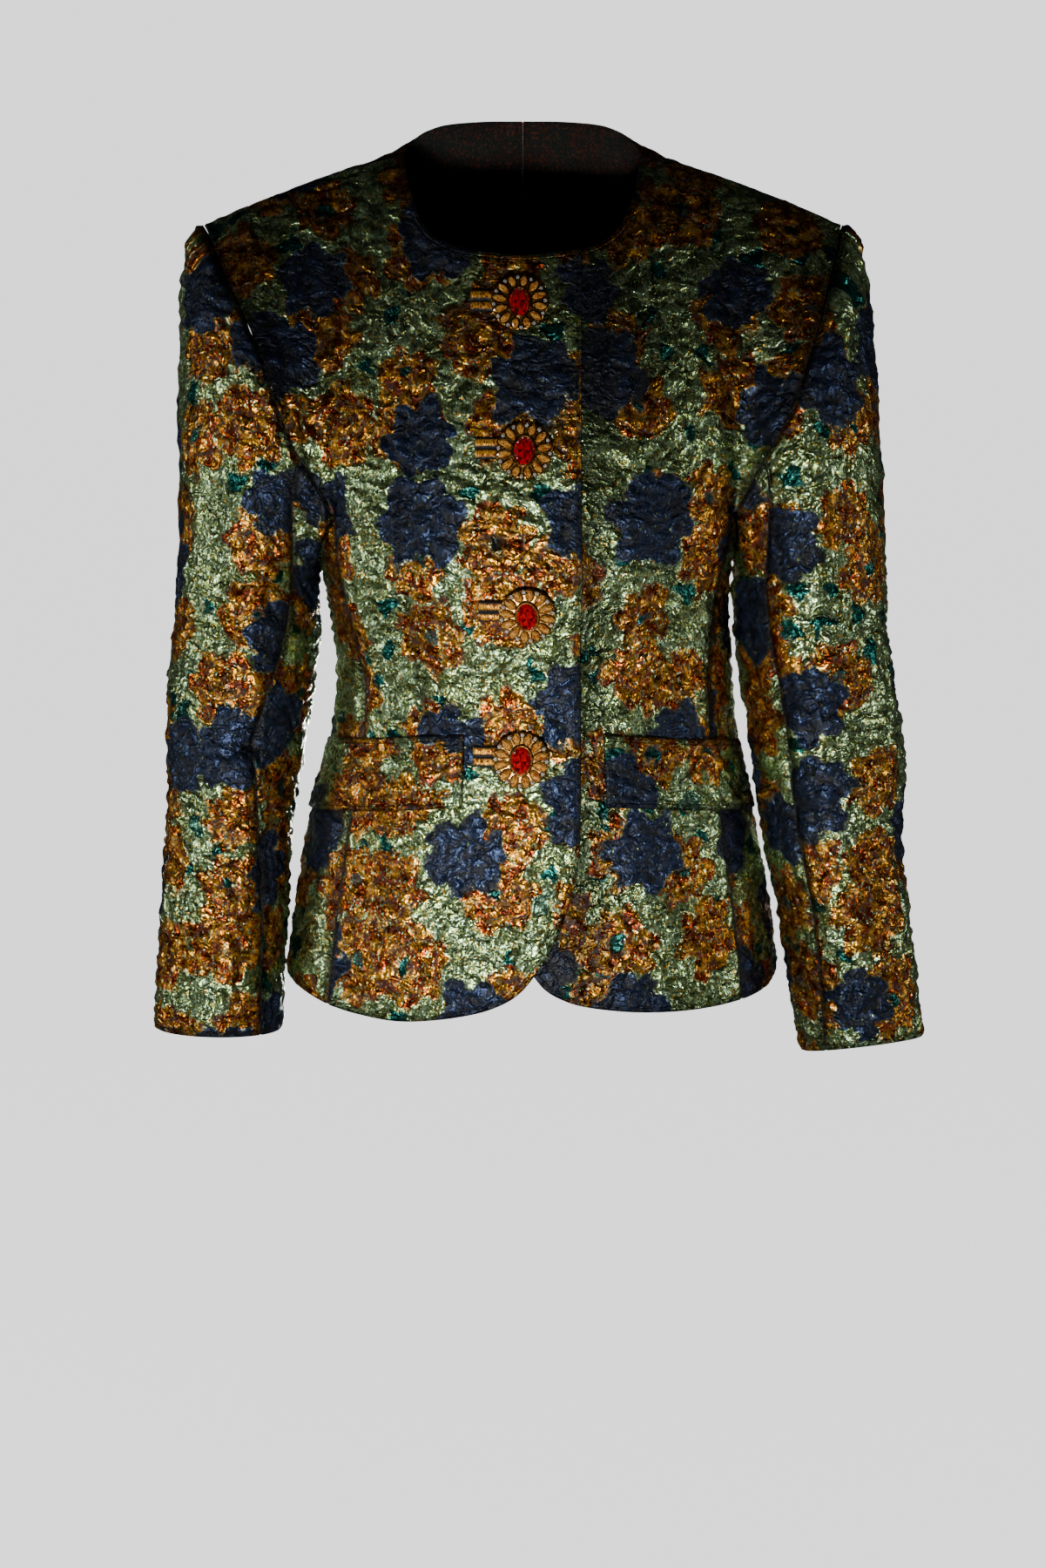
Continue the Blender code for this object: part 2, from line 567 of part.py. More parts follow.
class Surface:
    """Quads gathered from grids, welded where grids share points."""

    def __init__(self):
        self.points = []
        self.lookup = {}
        self.faces = []
        self.around = []

    def vertex(self, point):
        key = tuple(round(float(c), 2) for c in point)
        if key not in self.lookup:
            self.lookup[key] = len(self.points)
            self.points.append([float(c) for c in point])
        return self.lookup[key]

    def add_grid(self, grid, flip=False, around=False):
        """Add a grid of quads; a grid that lies around the piece only lends its slope."""
        kept = self.around if around else self.faces
        for i in range(grid.shape[0] - 1):
            for j in range(grid.shape[1] - 1):
                corners = [grid[i, j], grid[i, j + 1], grid[i + 1, j + 1], grid[i + 1, j]]
                face = [self.vertex(c) for c in corners]
                if len(set(face)) == 4:
                    kept.append(face[::-1] if flip else face)

    def border(self):
        """Border edges in the direction of their face."""
        edges = {}
        for face in self.faces:
            for a, b in zip(face, face[1:] + face[:1]):
                edges[a, b] = edges.get((a, b), 0) + 1
        return [(a, b) for (a, b) in edges if (b, a) not in edges]

    def normals(self):
        points = np.array(self.points)
        normals = np.zeros_like(points)
        for a, b, c, d in self.faces + self.around:
            normal = np.cross(points[c] - points[a], points[d] - points[b])
            for k in (a, b, c, d):
                normals[k] += normal
        return normals / np.linalg.norm(normals, axis=1)[:, None]

    def move(self, points):
        self.points = np.asarray(points).tolist()

    def shrink(self, amount):
        """Draw the border in along the cloth so neighbouring pieces stay apart."""
        points = np.array(self.points)
        normals = self.normals()
        move = np.zeros_like(points)
        sides = {}
        for a, b in self.border():
            edge = points[b] - points[a]
            inward = np.cross(normals[a] + normals[b], edge)
            inward /= np.linalg.norm(inward)
            for k in (a, b):
                sides.setdefault(k, []).append(inward)
        for k, directions in sides.items():
            total = np.sum(directions, axis=0)
            share = max(float(total @ total) / len(directions), 0.25)
            move[k] = total * amount / share
        self.move(points + move)


def closed_sheet(surface, out=0.0, wall=WALL):
    """Give a surface its thickness; the wall lies behind the cloth's outer side."""
    used = sorted({k for face in surface.faces for k in face})
    new = {k: n for n, k in enumerate(used)}
    points = np.array(surface.points)
    normals = surface.normals()
    outer = points + normals * np.atleast_1d(out)[:, None]
    inner = (outer - normals * np.atleast_1d(wall)[:, None])[used]
    outer = outer[used]
    count = len(used)
    quads = [[new[k] for k in face] for face in surface.faces]
    faces = quads + [[k + count for k in face[::-1]] for face in quads]
    for a, b in surface.border():
        faces.append([new[b], new[a], new[a] + count, new[b] + count])
    return np.vstack([outer, inner]), faces


def make_object(name, points, faces, material, collection):
    mesh = bpy.data.meshes.new(name)
    placed = (np.asarray(points) - np.array(ORIGIN)) * MM
    mesh.from_pydata([tuple(p) for p in placed], [], faces)
    mesh.validate()
    work = bmesh.new()
    work.from_mesh(mesh)
    bmesh.ops.recalc_face_normals(work, faces=work.faces)
    bmesh.ops.triangulate(work, faces=work.faces)
    work.to_mesh(mesh)
    work.free()
    obj = bpy.data.objects.new(name, mesh)
    collection.objects.link(obj)
    colour, metal, rough = MATERIALS[material]
    surface = bpy.data.materials.new(name)
    surface.use_nodes = True
    shader = surface.node_tree.nodes["Principled BSDF"]
    shader.inputs["Base Color"].default_value = (*colour, 1.0)
    shader.inputs["Metallic"].default_value = metal
    shader.inputs["Roughness"].default_value = rough
    mesh.materials.append(surface)
    return obj


def under_lap(points):
    """How far the under front lies behind the upper one."""
    t = np.clip((78.0 - points[:, 0]) / 34.0, 0, 1)
    return (WALL + OVER_GAP) * t * t * (3 - 2 * t)


def cloth_piece(name, grids, around, turned, region, collection, lap=False):
    surface = Surface()
    for grid in grids:
        surface.add_grid(grid, turned)
    for grid in around:
        surface.add_grid(grid, turned, around=True)
    surface.move(add_creases(np.array(surface.points), surface.normals(), region))
    surface.shrink(SEAM_GAP / 2)
    out = -under_lap(np.array(surface.points)) if lap else 0.0
    points, faces = closed_sheet(surface, out)
    return make_object(name, points, faces, "cloth", collection)


def build_body(collection):
    grid, ring, half, tip = yoke_grid()
    count = 2 * half
    back = tip + ARM_BACK_COLS
    for side, name in ((-1, "right"), (1, "left")):
        def columns(first, last):
            return [side * k % count for k in range(first, last + 1)]

        front_ring = [ring[k] for k in columns(-EDGE_COLS, EDGE_COLS + CHEST_COLS)]
        back_ring = [ring[k] for k in columns(back, half)]
        back_ring[-1] = side * 180.0
        front_yoke = grid[columns(-EDGE_COLS, tip)]
        back_yoke = grid[columns(tip, half)]
        front_body = on_body(front_patch(side, front_ring))
        side_body = on_body(side_patch(side))
        back_body = on_body(back_patch(side, back_ring))
        beyond = [grid[columns(half, half + 2)], body_point(
            side * 180.0 + side * np.array([0, 4.0, 8.0])[:, None],
            np.linspace(CHEST_Z, back_patch(side, back_ring)[-1, -1, 1], BODY_ROWS + 1)[None, :])]
        turned = side < 0
        front = [front_yoke, front_body]
        back_grids = [back_yoke, back_body]
        cloth_piece("front_" + name, front, back_grids + [side_body] + beyond, turned,
                    "body", collection, lap=side > 0)
        cloth_piece("side_" + name, [side_body], front + back_grids + beyond, turned,
                    "body", collection)
        cloth_piece("back_" + name, back_grids, front + [side_body] + beyond, turned,
                    "body", collection)


def build_sleeves(collection):
    for side, name in ((-1, "right"), (1, "left")):
        grid, (_, front_seam, _, back_seam, total) = sleeve_grid(side)
        upper = grid[[k % total for k in range(back_seam, total + front_seam + 1)]]
        under = grid[front_seam:back_seam + 1]
        turned = side > 0
        cloth_piece("sleeve_%s_upper" % name, [upper], [under], turned, "sleeve", collection)
        cloth_piece("sleeve_%s_under" % name, [under], [upper], turned, "sleeve", collection)


def build_flaps(collection):
    """Pocket flaps, made from the points of the body and moved out, a little more at the hem."""
    for name, side, front_x, top, drop, height, end in FLAPS:
        start = angle_at_x(front_x, top)
        along = np.linspace(0, 1, FLAP_COLS + 1)[:, None]
        down = np.linspace(0, 1, FLAP_ROWS + 1)[None, :]
        angles = start + (side * end - start) * along + 0 * down
        grid = body_point(angles, top - drop * along ** 1.3 - height * down)
        surface = Surface()
        surface.add_grid(grid, side < 0)
        out = np.zeros(len(surface.points))
        for column in grid:
            for point, share in zip(column, down[0]):
                out[surface.vertex(point)] = OVER_GAP + WALL + FLAP_LIFT * share ** 2
        points, faces = closed_sheet(surface, out)
        make_object(name, points, faces, "cloth", collection)


def front_point(x, z):
    """Point of the upper front near the centre line."""
    if z <= CHEST_Z:
        return body_point(angle_at_x(x, z), z)
    line = Path(CENTRE_FRONT)
    share = line.share_where(2, z)
    curve = body_point(angle_at_x(x, CHEST_Z), CHEST_Z)[1] - body_point(0.0, CHEST_Z)[1]
    return line.at(share) + np.array([x, share * curve, 0.0])


def front_normal(x, z):
    across = front_point(x + 2, z) - front_point(x - 2, z)
    up = front_point(x, z + 2) - front_point(x, z - 2)
    normal = np.cross(across, up)
    return normal / np.linalg.norm(normal)


def build_buttonholes(collection):
    """Bound buttonholes: two cloth lips with a groove between, on the surface of the front."""
    for number, (x, z, _) in enumerate(BUTTONS, 1):
        across = np.linspace(x - HOLE_LEFT, x + HOLE_RIGHT, HOLE_COLS + 1)
        grid = np.array([[front_point(px, z + HOLE_RISE + dz) for dz, _ in LIP_PROFILE]
                         for px in across])
        surface = Surface()
        surface.add_grid(grid, True)
        thick = np.zeros(len(surface.points))
        for row in grid:
            for point, (_, height) in zip(row, LIP_PROFILE):
                thick[surface.vertex(point)] = height
        points, faces = closed_sheet(surface, OVER_GAP + thick, thick)
        make_object("buttonhole_%d" % number, points, faces, "cloth", collection)


def button_frame(x, z, turn):
    """Place, outward direction and turned axes of a button."""
    normal = front_normal(x, z)
    across = np.array([1.0, 0, 0]) - normal * normal[0]
    across /= np.linalg.norm(across)
    up = np.cross(normal, across)
    angle = math.radians(turn)
    right = across * math.cos(angle) + up * math.sin(angle)
    upward = up * math.cos(angle) - across * math.sin(angle)
    return front_point(x, z), normal, right, upward


def petal_height(radius, angle):
    """Height of the setting above its back: a plate with long pointed petals."""
    step = 2 * math.pi / BUTTON_PETALS
    off = (angle + step / 2) % step - step / 2
    across = abs(off * radius) / PETAL_HALF[1]
    along = abs(radius - PETAL_MIDDLE) / PETAL_HALF[0]
    return PLATE_HEIGHT + PETAL_RISE * math.sqrt(max(0.0, 1 - across ** 1.6 - along ** 2))


def build_setting(name, place, collection):
    """The gold setting: petals round a raised centre, with a scalloped rim and a flat back."""
    segments = BUTTON_PETALS * 4
    turns = [2 * math.pi * s / segments for s in range(segments)]
    points = [place(0, 0, CENTRE_HEIGHT)]
    for radius in SETTING_RINGS:
        for turn in turns:
            height = CENTRE_HEIGHT if radius == SETTING_RINGS[0] else petal_height(radius, turn)
            scallop = 0.45 * (1 - math.cos(BUTTON_PETALS * turn)) if radius == BUTTON_RADIUS else 0
            points.append(place(radius - scallop, turn, height))
    faces = [[0, 1 + s, 1 + (s + 1) % segments] for s in range(segments)]
    for ring in range(len(SETTING_RINGS) - 1):
        for s in range(segments):
            a = 1 + ring * segments + s
            b = 1 + ring * segments + (s + 1) % segments
            faces.append([a, a + segments, b + segments, b])
    rim = 1 + (len(SETTING_RINGS) - 1) * segments
    foot = len(points)
    half = segments // 2
    points += [place(BUTTON_RADIUS - 1.5, turn, 0.0) for turn in turns[::2]]
    for s in range(half):
        first, middle, last = rim + 2 * s, rim + 2 * s + 1, rim + (2 * s + 2) % segments
        here, beyond = foot + s, foot + (s + 1) % half
        faces += [[first, here, middle], [middle, here, beyond], [middle, beyond, last]]
    faces.append([foot + s for s in range(half)])
    make_object(name, points, faces, "gold", collection)


def build_stone(name, place, collection):
    """The oval red stone: a faceted crown over a flat back."""
    turns = [2 * math.pi * s / STONE_SIDES for s in range(STONE_SIDES)]
    points = []
    for scale, height in STONE_SECTION:
        for turn in turns:
            x, y = STONE_HALF[0] * scale * math.cos(turn), STONE_HALF[1] * scale * math.sin(turn)
            points.append(place(math.hypot(x, y), math.atan2(y, x), height))
    faces = []
    levels = len(STONE_SECTION)
    for level in range(levels - 1):
        for s in range(STONE_SIDES):
            a = level * STONE_SIDES + s
            b = level * STONE_SIDES + (s + 1) % STONE_SIDES
            faces.append([a, b, b + STONE_SIDES, a + STONE_SIDES])
    faces.append(list(range(STONE_SIDES)))
    faces.append(list(range((levels - 1) * STONE_SIDES, levels * STONE_SIDES)))
    make_object(name, points, faces, "red_stone", collection)


def build_buttons(collection):
    for number, (x, z, turn) in enumerate(BUTTONS, 1):
        point, normal, right, up = button_frame(x, z, turn)
        back = point + normal * (2 * OVER_GAP + LIP_PROFILE[1][1])

        def place(radius, angle, height):
            return (back + right * radius * math.cos(angle) + up * radius * math.sin(angle)
                    + normal * height)

        build_setting("button_%d" % number, place, collection)
        build_stone("stone_%d" % number, place, collection)


def main():
    for obj in list(bpy.data.objects):
        bpy.data.objects.remove(obj, do_unlink=True)
    collection = bpy.data.collections.new("jacquard_jacket")
    bpy.context.scene.collection.children.link(collection)
    build_body(collection)
    build_sleeves(collection)
    build_flaps(collection)
    build_buttonholes(collection)
    build_buttons(collection)


main()
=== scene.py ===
"""Looks of the jacquard jacket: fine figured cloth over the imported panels, and jewelled buttons.

Tables are in millimetres and seen as worn from the front: -X is the wearer's right, the front
faces -Y and +Z is up.  ORIGIN and MM take them to the row frame.
"""
import math

import bpy
import numpy as np
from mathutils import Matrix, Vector
from mathutils.kdtree import KDTree


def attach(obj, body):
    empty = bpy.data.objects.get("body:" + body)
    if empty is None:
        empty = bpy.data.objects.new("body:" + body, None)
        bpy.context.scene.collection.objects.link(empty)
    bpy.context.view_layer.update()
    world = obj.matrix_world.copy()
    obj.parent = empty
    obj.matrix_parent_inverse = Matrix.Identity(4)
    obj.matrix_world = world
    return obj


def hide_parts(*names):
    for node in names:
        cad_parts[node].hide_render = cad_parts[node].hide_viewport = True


# Sizes shared with the solids
MM = 0.001
ORIGIN = (0.0, 13.0, -4.0)
WALL = 2.0
OVER_GAP = 0.8
CHEST_Z = -242.0
UNDERARM_Z = -267.0
BICEP_Z = -300.0
EDGE_X = 38.0
NOTCH_X = 7.5
BACK_SEAM = 118.0
SLEEVE_BACK_ANGLE = 122.0
BUTTON_RADIUS = 19.0
SEAM_GAP = 0.6
# Grid counts shared with the solids, and how often each cell is divided here
EDGE_COLS = 2
CHEST_COLS = 8
ARM_FRONT_COLS = 11
ARM_BACK_COLS = 9
BACK_COLS = 7
SIDE_COLS = 6
YOKE_ROWS = 10
BODY_ROWS = 17
SLEEVE_FRONT_SEAM = 2
SLEEVE_BACK_SEAM = 5
SLEEVE_HEAD_ROWS = 7
SLEEVE_ROWS = 14
FINE = 9                        # outer side of the cloth
COARSE = 3                      # its plain inner side keeps every third point
# Body sections: level, half width of each side, front depth, back depth, squareness of the ring
BODY = [
    # z, left, right, front, back, power
    (-200.0, 142.0, 152.0, 116.0, 111.0, 2.45),
    (-242.0, 140.0, 150.0, 119.0, 111.0, 2.45),
    (-267.0, 138.0, 145.0, 121.0, 110.0, 2.45),
    (-297.0, 134.0, 140.0, 118.0, 106.0, 2.40),
    (-330.0, 129.0, 141.0, 111.0, 101.0, 2.35),
    (-359.0, 127.0, 143.5, 107.0, 99.0, 2.35),
    (-404.0, 132.0, 148.0, 109.0, 103.0, 2.35),
    (-451.0, 145.0, 158.0, 113.0, 110.0, 2.35),
    (-501.0, 155.0, 168.0, 116.0, 116.0, 2.35),
    (-538.0, 161.0, 174.0, 118.0, 119.0, 2.35),
    (-590.0, 168.0, 179.0, 119.0, 122.0, 2.35),
]
# Side front seam: level, angle from the front on each side
SIDE_SEAM = [
    # z, left, right
    (-242.0, 64.0, 70.5),
    (-321.0, 60.5, 66.5),
    (-374.0, 57.5, 64.5),
    (-450.0, 57.5, 63.5),
    (-590.0, 59.0, 64.0),
]
# Hem: angle from the front, level on each side
HEM = [
    # angle, left, right
    (57.0, -574.0, -572.0),
    (66.0, -569.5, -571.0),
    (78.0, -565.5, -567.5),
    (90.0, -563.5, -562.5),
    (118.0, -566.0, -566.0),
    (180.0, -573.0, -573.0),
]
# Cutaway front edge of the upper front, down to the middle of the rounded corner: x, level
FRONT_EDGE = [(38.0, -242.0), (38.0, -300.0), (38.0, -370.0), (38.0, -440.0), (37.0, -462.0),
              (34.5, -481.0), (30.0, -499.0), (23.5, -517.0), (16.0, -532.0), (8.0, -544.0)]
# The hem from that corner to the side front seam: x, level
HEM_FRONT_LEFT = [(8.0, -544.0), (-1.0, -555.0), (-12.0, -563.0), (-30.0, -570.0), (-58.0, -575.5),
                  (-85.0, -578.0), (-112.0, -576.0)]
HEM_FRONT_RIGHT = [(7.0, -544.0), (15.0, -554.0), (25.0, -560.5), (40.0, -566.0), (62.0, -569.5),
                   (93.0, -572.0), (122.0, -572.5)]
# Half of the neckline, from centre front over the neck point to centre back
NECK_FRONT = [(0.0, -73.0, -69.0), (13.0, -73.0, -68.0), (40.0, -69.5, -64.5), (57.0, -62.0, -58.0),
              (66.5, -52.0, -49.0), (72.0, -41.0, -38.0), (77.0, -22.0, -24.0),
              (79.5, -3.0, -12.0), (81.0, 13.0, -4.0)]
NECK_BACK = [(81.0, 13.0, -4.0), (76.0, 27.0, 3.0), (58.0, 43.0, 12.0), (30.0, 53.0, 15.0),
             (0.0, 56.0, 15.5)]
SHOULDER = [(81.0, 13.0, -4.0), (97.0, 12.0, -9.0), (132.0, 9.0, -19.0), (183.0, 6.0, -38.5),
            (216.0, 4.0, -52.0)]
CENTRE_FRONT = [(0.0, -73.0, -69.0), (0.0, -84.0, -100.0), (0.0, -97.0, -140.0),
                (0.0, -109.0, -185.0), (0.0, -116.5, -220.0), (0.0, -119.0, -242.0)]
CENTRE_BACK = [(0.0, 56.0, 15.5), (0.0, 76.0, -20.0), (0.0, 94.0, -70.0), (0.0, 107.0, -130.0),
               (0.0, 112.0, -190.0), (0.0, 111.0, -242.0)]
# Armholes from the shoulder tip down the front, without the last point on the body ring
ARMHOLE_FRONT = {
    -1: [(216.0, 4.0, -52.0), (206.5, -18.0, -69.0), (198.0, -34.0, -86.0), (190.0, -44.0, -101.0),
         (180.5, -55.0, -119.0), (171.5, -63.5, -138.0), (165.5, -68.5, -156.0),
         (160.0, -71.0, -176.0), (153.0, -71.0, -194.0), (143.0, -69.0, -210.0),
         (134.0, -65.5, -226.0)],
    1: [(216.0, 4.0, -52.0), (213.0, -12.0, -64.0), (208.0, -28.0, -80.0), (202.5, -42.0, -97.0),
        (197.0, -54.0, -116.0), (190.5, -62.5, -135.0), (184.0, -68.5, -154.0),
        (176.0, -71.0, -174.0), (166.5, -70.0, -192.0), (157.5, -66.0, -209.0),
        (149.5, -59.5, -226.0)],
}
ARMHOLE_BACK = {
    -1: [(216.0, 4.0, -52.0), (208.0, 26.0, -70.0), (198.0, 46.0, -98.0), (187.0, 61.0, -132.0),
         (174.0, 69.0, -170.0), (158.0, 70.0, -204.0), (142.0, 66.5, -228.0)],
    1: [(216.0, 4.0, -52.0), (211.0, 26.0, -70.0), (203.0, 46.0, -98.0), (194.0, 61.0, -132.0),
        (183.0, 69.0, -170.0), (167.0, 70.0, -204.0), (151.0, 66.5, -228.0)],
}
# Sleeves: level, outer and inner side from the centre line, middle of the depth, half depth,
# where the front seam lies across the width, rise of the ring to the outside and to the front
SLEEVE = {
    -1: [
        # z, outer, inner, middle, half depth, seam, tilt, lean
        (-300.0, 236.0, 140.5, -2.0, 66.0, 0.84, 0.0, 0.0),
        (-330.0, 238.5, 140.5, -4.0, 64.5, 0.79, 0.0, 0.0),
        (-356.0, 242.0, 143.0, -6.0, 63.0, 0.74, 0.0, 0.0),
        (-382.0, 243.5, 147.5, -8.0, 61.0, 0.68, 0.0, 0.0),
        (-407.0, 243.5, 150.5, -10.0, 59.0, 0.67, 0.0, 0.0),
        (-436.0, 244.0, 156.0, -13.0, 56.5, 0.73, 0.5, 0.5),
        (-470.0, 246.0, 160.0, -17.0, 53.5, 0.79, 1.0, 1.0),
        (-519.0, 250.0, 163.5, -22.0, 50.0, 0.84, 1.0, 1.5),
        (-569.0, 253.0, 166.5, -27.0, 46.5, 0.86, 1.0, 2.0),
        (-601.0, 255.5, 167.0, -30.0, 43.0, 0.86, 1.0, 2.5),
    ],
    1: [
        (-300.0, 248.5, 145.0, -4.0, 68.0, 0.82, 0.0, 0.0),
        (-330.0, 250.5, 146.5, -6.0, 66.0, 0.80, 0.0, 0.0),
        (-356.0, 253.5, 150.0, -8.0, 64.5, 0.79, 0.0, 0.0),
        (-382.0, 258.5, 154.5, -10.0, 62.5, 0.775, 0.0, 0.0),
        (-407.0, 262.0, 158.0, -12.0, 60.5, 0.78, 1.0, 0.0),
        (-436.0, 262.5, 161.5, -15.0, 58.0, 0.79, 2.0, 1.0),
        (-470.0, 260.5, 167.5, -19.0, 54.5, 0.77, 3.5, 3.0),
        (-519.0, 266.0, 178.0, -24.0, 51.0, 0.77, 4.5, 5.0),
        (-569.0, 272.0, 186.0, -29.0, 47.0, 0.80, 5.5, 7.0),
        (-612.0, 278.0, 194.0, -33.0, 43.0, 0.84, 5.5, 8.0),
    ],
}
# Soft creases and folds: region, start, end, half width, height (minus is a trough)
CREASES = [
    # region, start, end, width, height
    ("sleeve", (-160.0, -62.0, -404.0), (-205.0, -70.0, -392.0), 9.0, -3.0),
    ("sleeve", (-160.0, -62.0, -422.0), (-212.0, -70.0, -416.0), 10.0, 2.0),
    ("sleeve", (-232.0, -40.0, -352.0), (-190.0, -66.0, -372.0), 11.0, -2.0),
    ("sleeve", (-232.0, -50.0, -470.0), (-190.0, -72.0, -452.0), 11.0, -2.0),
    ("sleeve", (176.0, -66.0, -352.0), (232.0, -60.0, -372.0), 11.0, -2.5),
    ("sleeve", (186.0, -66.0, -396.0), (256.0, -50.0, -404.0), 11.0, 2.0),
    ("sleeve", (186.0, -66.0, -440.0), (258.0, -50.0, -452.0), 10.0, -3.0),
    ("sleeve", (-172.0, -62.0, -232.0), (-206.0, -62.0, -300.0), 12.0, -2.5),
    ("sleeve", (182.0, -62.0, -226.0), (212.0, -62.0, -300.0), 12.0, -2.5),
    ("body", (-132.0, -64.0, -236.0), (-98.0, -92.0, -262.0), 11.0, -2.5),
    ("body", (140.0, -62.0, -236.0), (108.0, -92.0, -262.0), 11.0, -2.5),
    ("body", (-118.0, -60.0, -352.0), (-70.0, -96.0, -362.0), 11.0, -1.8),
    ("body", (130.0, -60.0, -352.0), (88.0, -96.0, -364.0), 11.0, -1.8),
]
# Pocket flaps: side, x of the front edge, top level there, how far they drop towards the side
FLAPS = [
    # name, side, front x, top, drop, height, end angle
    ("flap_right", -1, -39.0, -383.0, 19.0, 48.0, 86.0),
    ("flap_left", 1, 54.0, -384.0, 18.0, 47.0, 84.0),
]
FLAP_LIFT = 1.2                 # how far the lower edge of a flap stands off
# Buttons on the centre line: x, level, turn in degrees
BUTTONS = [
    # x, z, turn
    (-2.0, -100.0, 4.0),
    (1.0, -194.0, -6.0),
    (3.0, -300.0, 8.0),
    (-1.0, -399.0, -3.0),
]
# Bound buttonholes: reach to each side of the button, and how far above its middle they lie
HOLE_LEFT = 32.0
HOLE_RIGHT = 5.0
HOLE_RISE = 2.0
# How far a distance is followed, and the looks of seams and relief, in millimetres
REACH = 60.0
ARMHOLE_NEAR = 4.5
SEAM_SLIT = 0.25
SEAM_CLOSE = 0.16
ROLL = 0.75
BLISTER = 3.1
FLATTEN_STEPS = 500
LIP_STEPS = 97
LIP_ACROSS = 37
LIP_HALF = 7.0
LIP_MIDDLE = 3.5
LIP_RISE = 1.9
RIB = 1.9
FLAP_COLS = 12
FLAP_ROWS = 4
# Weave: width of a thread grain, share of the ground that shines, tilt of single threads
GRAIN = 0.95
GROUND_SHINE = 0.62
SPARKLE = 0.15
# Waist darts: x and level from the bust to the pocket flap
DARTS = {
    -1: [(-82.0, -226.0), (-83.0, -236.0), (-81.0, -263.0), (-74.0, -312.0), (-68.0, -348.0),
         (-63.0, -380.0)],
    1: [(103.5, -222.0), (103.0, -230.0), (100.0, -258.0), (96.5, -292.0), (91.0, -340.0),
        (84.0, -380.0)],
}
# More creases, on the sides and the back too: region, start, end, half width, height
FINE_CREASES = [
    # region, start, end, width, height
    ("sleeve", (-200.0, -66.0, -330.0), (-236.0, -42.0, -318.0), 6.0, -1.6),
    ("sleeve", (-168.0, -64.0, -318.0), (-214.0, -66.0, -342.0), 7.0, 1.4),
    ("sleeve", (-158.0, -58.0, -390.0), (-186.0, -70.0, -398.0), 4.5, -2.2),
    ("sleeve", (-164.0, -58.0, -410.0), (-222.0, -62.0, -430.0), 6.0, -1.8),
    ("sleeve", (-172.0, -60.0, -470.0), (-228.0, -60.0, -486.0), 7.0, -1.5),
    ("sleeve", (-178.0, -60.0, -520.0), (-236.0, -58.0, -512.0), 7.0, 1.2),
    ("sleeve", (190.0, -68.0, -330.0), (240.0, -50.0, -322.0), 6.0, -1.6),
    ("sleeve", (170.0, -66.0, -372.0), (214.0, -70.0, -380.0), 5.0, 1.8),
    ("sleeve", (172.0, -62.0, -410.0), (236.0, -62.0, -424.0), 6.0, -2.2),
    ("sleeve", (196.0, -66.0, -470.0), (252.0, -56.0, -484.0), 7.0, -1.6),
    ("sleeve", (200.0, -66.0, -530.0), (262.0, -56.0, -522.0), 7.0, 1.3),
    ("sleeve", (-238.0, 10.0, -392.0), (-206.0, 46.0, -380.0), 9.0, -2.4),
    ("sleeve", (-240.0, 0.0, -420.0), (-196.0, 44.0, -424.0), 9.0, -2.2),
    ("sleeve", (-226.0, 30.0, -350.0), (-190.0, 58.0, -338.0), 9.0, -1.8),
    ("sleeve", (-232.0, 10.0, -480.0), (-200.0, 34.0, -470.0), 8.0, -1.6),
    ("sleeve", (254.0, 10.0, -396.0), (214.0, 50.0, -384.0), 9.0, -2.4),
    ("sleeve", (256.0, 0.0, -430.0), (208.0, 44.0, -436.0), 9.0, -2.2),
    ("sleeve", (240.0, 34.0, -346.0), (200.0, 60.0, -340.0), 9.0, -1.8),
    ("sleeve", (262.0, 4.0, -486.0), (224.0, 32.0, -476.0), 8.0, -1.5),
    ("sleeve", (-178.0, 62.0, -226.0), (-206.0, 62.0, -296.0), 12.0, -2.2),
    ("sleeve", (186.0, 62.0, -226.0), (216.0, 62.0, -296.0), 12.0, -2.2),
    ("body", (-136.0, 20.0, -330.0), (-96.0, 74.0, -342.0), 9.0, -1.6),
    ("body", (144.0, 20.0, -330.0), (100.0, 76.0, -340.0), 9.0, -1.6),
    ("body", (-60.0, 96.0, -352.0), (-6.0, 102.0, -364.0), 9.0, -1.5),
    ("body", (66.0, 96.0, -356.0), (8.0, 102.0, -348.0), 9.0, -1.4),
    ("body", (-120.0, 76.0, -150.0), (-142.0, 64.0, -230.0), 11.0, -2.0),
    ("body", (126.0, 78.0, -150.0), (148.0, 62.0, -230.0), 11.0, -2.0),
    ("body", (-100.0, -84.0, -298.0), (-70.0, -98.0, -310.0), 6.0, -1.2),
    ("body", (70.0, -100.0, -322.0), (112.0, -84.0, -312.0), 6.0, -1.3),
    ("body", (8.0, -112.0, -340.0), (-44.0, -108.0, -352.0), 7.0, -1.2),
    ("body", (4.0, -112.0, -250.0), (-40.0, -112.0, -262.0), 7.0, -1.0),
]
# Button: sizes of the stones and bezels, in millimetres
PETALS = 12
STONE_HALF = (6.9, 9.4)
STONE_HEIGHT = (3.9, 3.3)
NAVETTE_HALF = 2.45
NAVETTE_HEIGHT = (2.9, 1.9)
NAVETTE_END = 18.3
CRYSTAL_RADIUS = 1.45
CRYSTAL_PLACE = 16.9
CRYSTAL_HEIGHT = (2.2, 1.1)
BEAD = 0.42
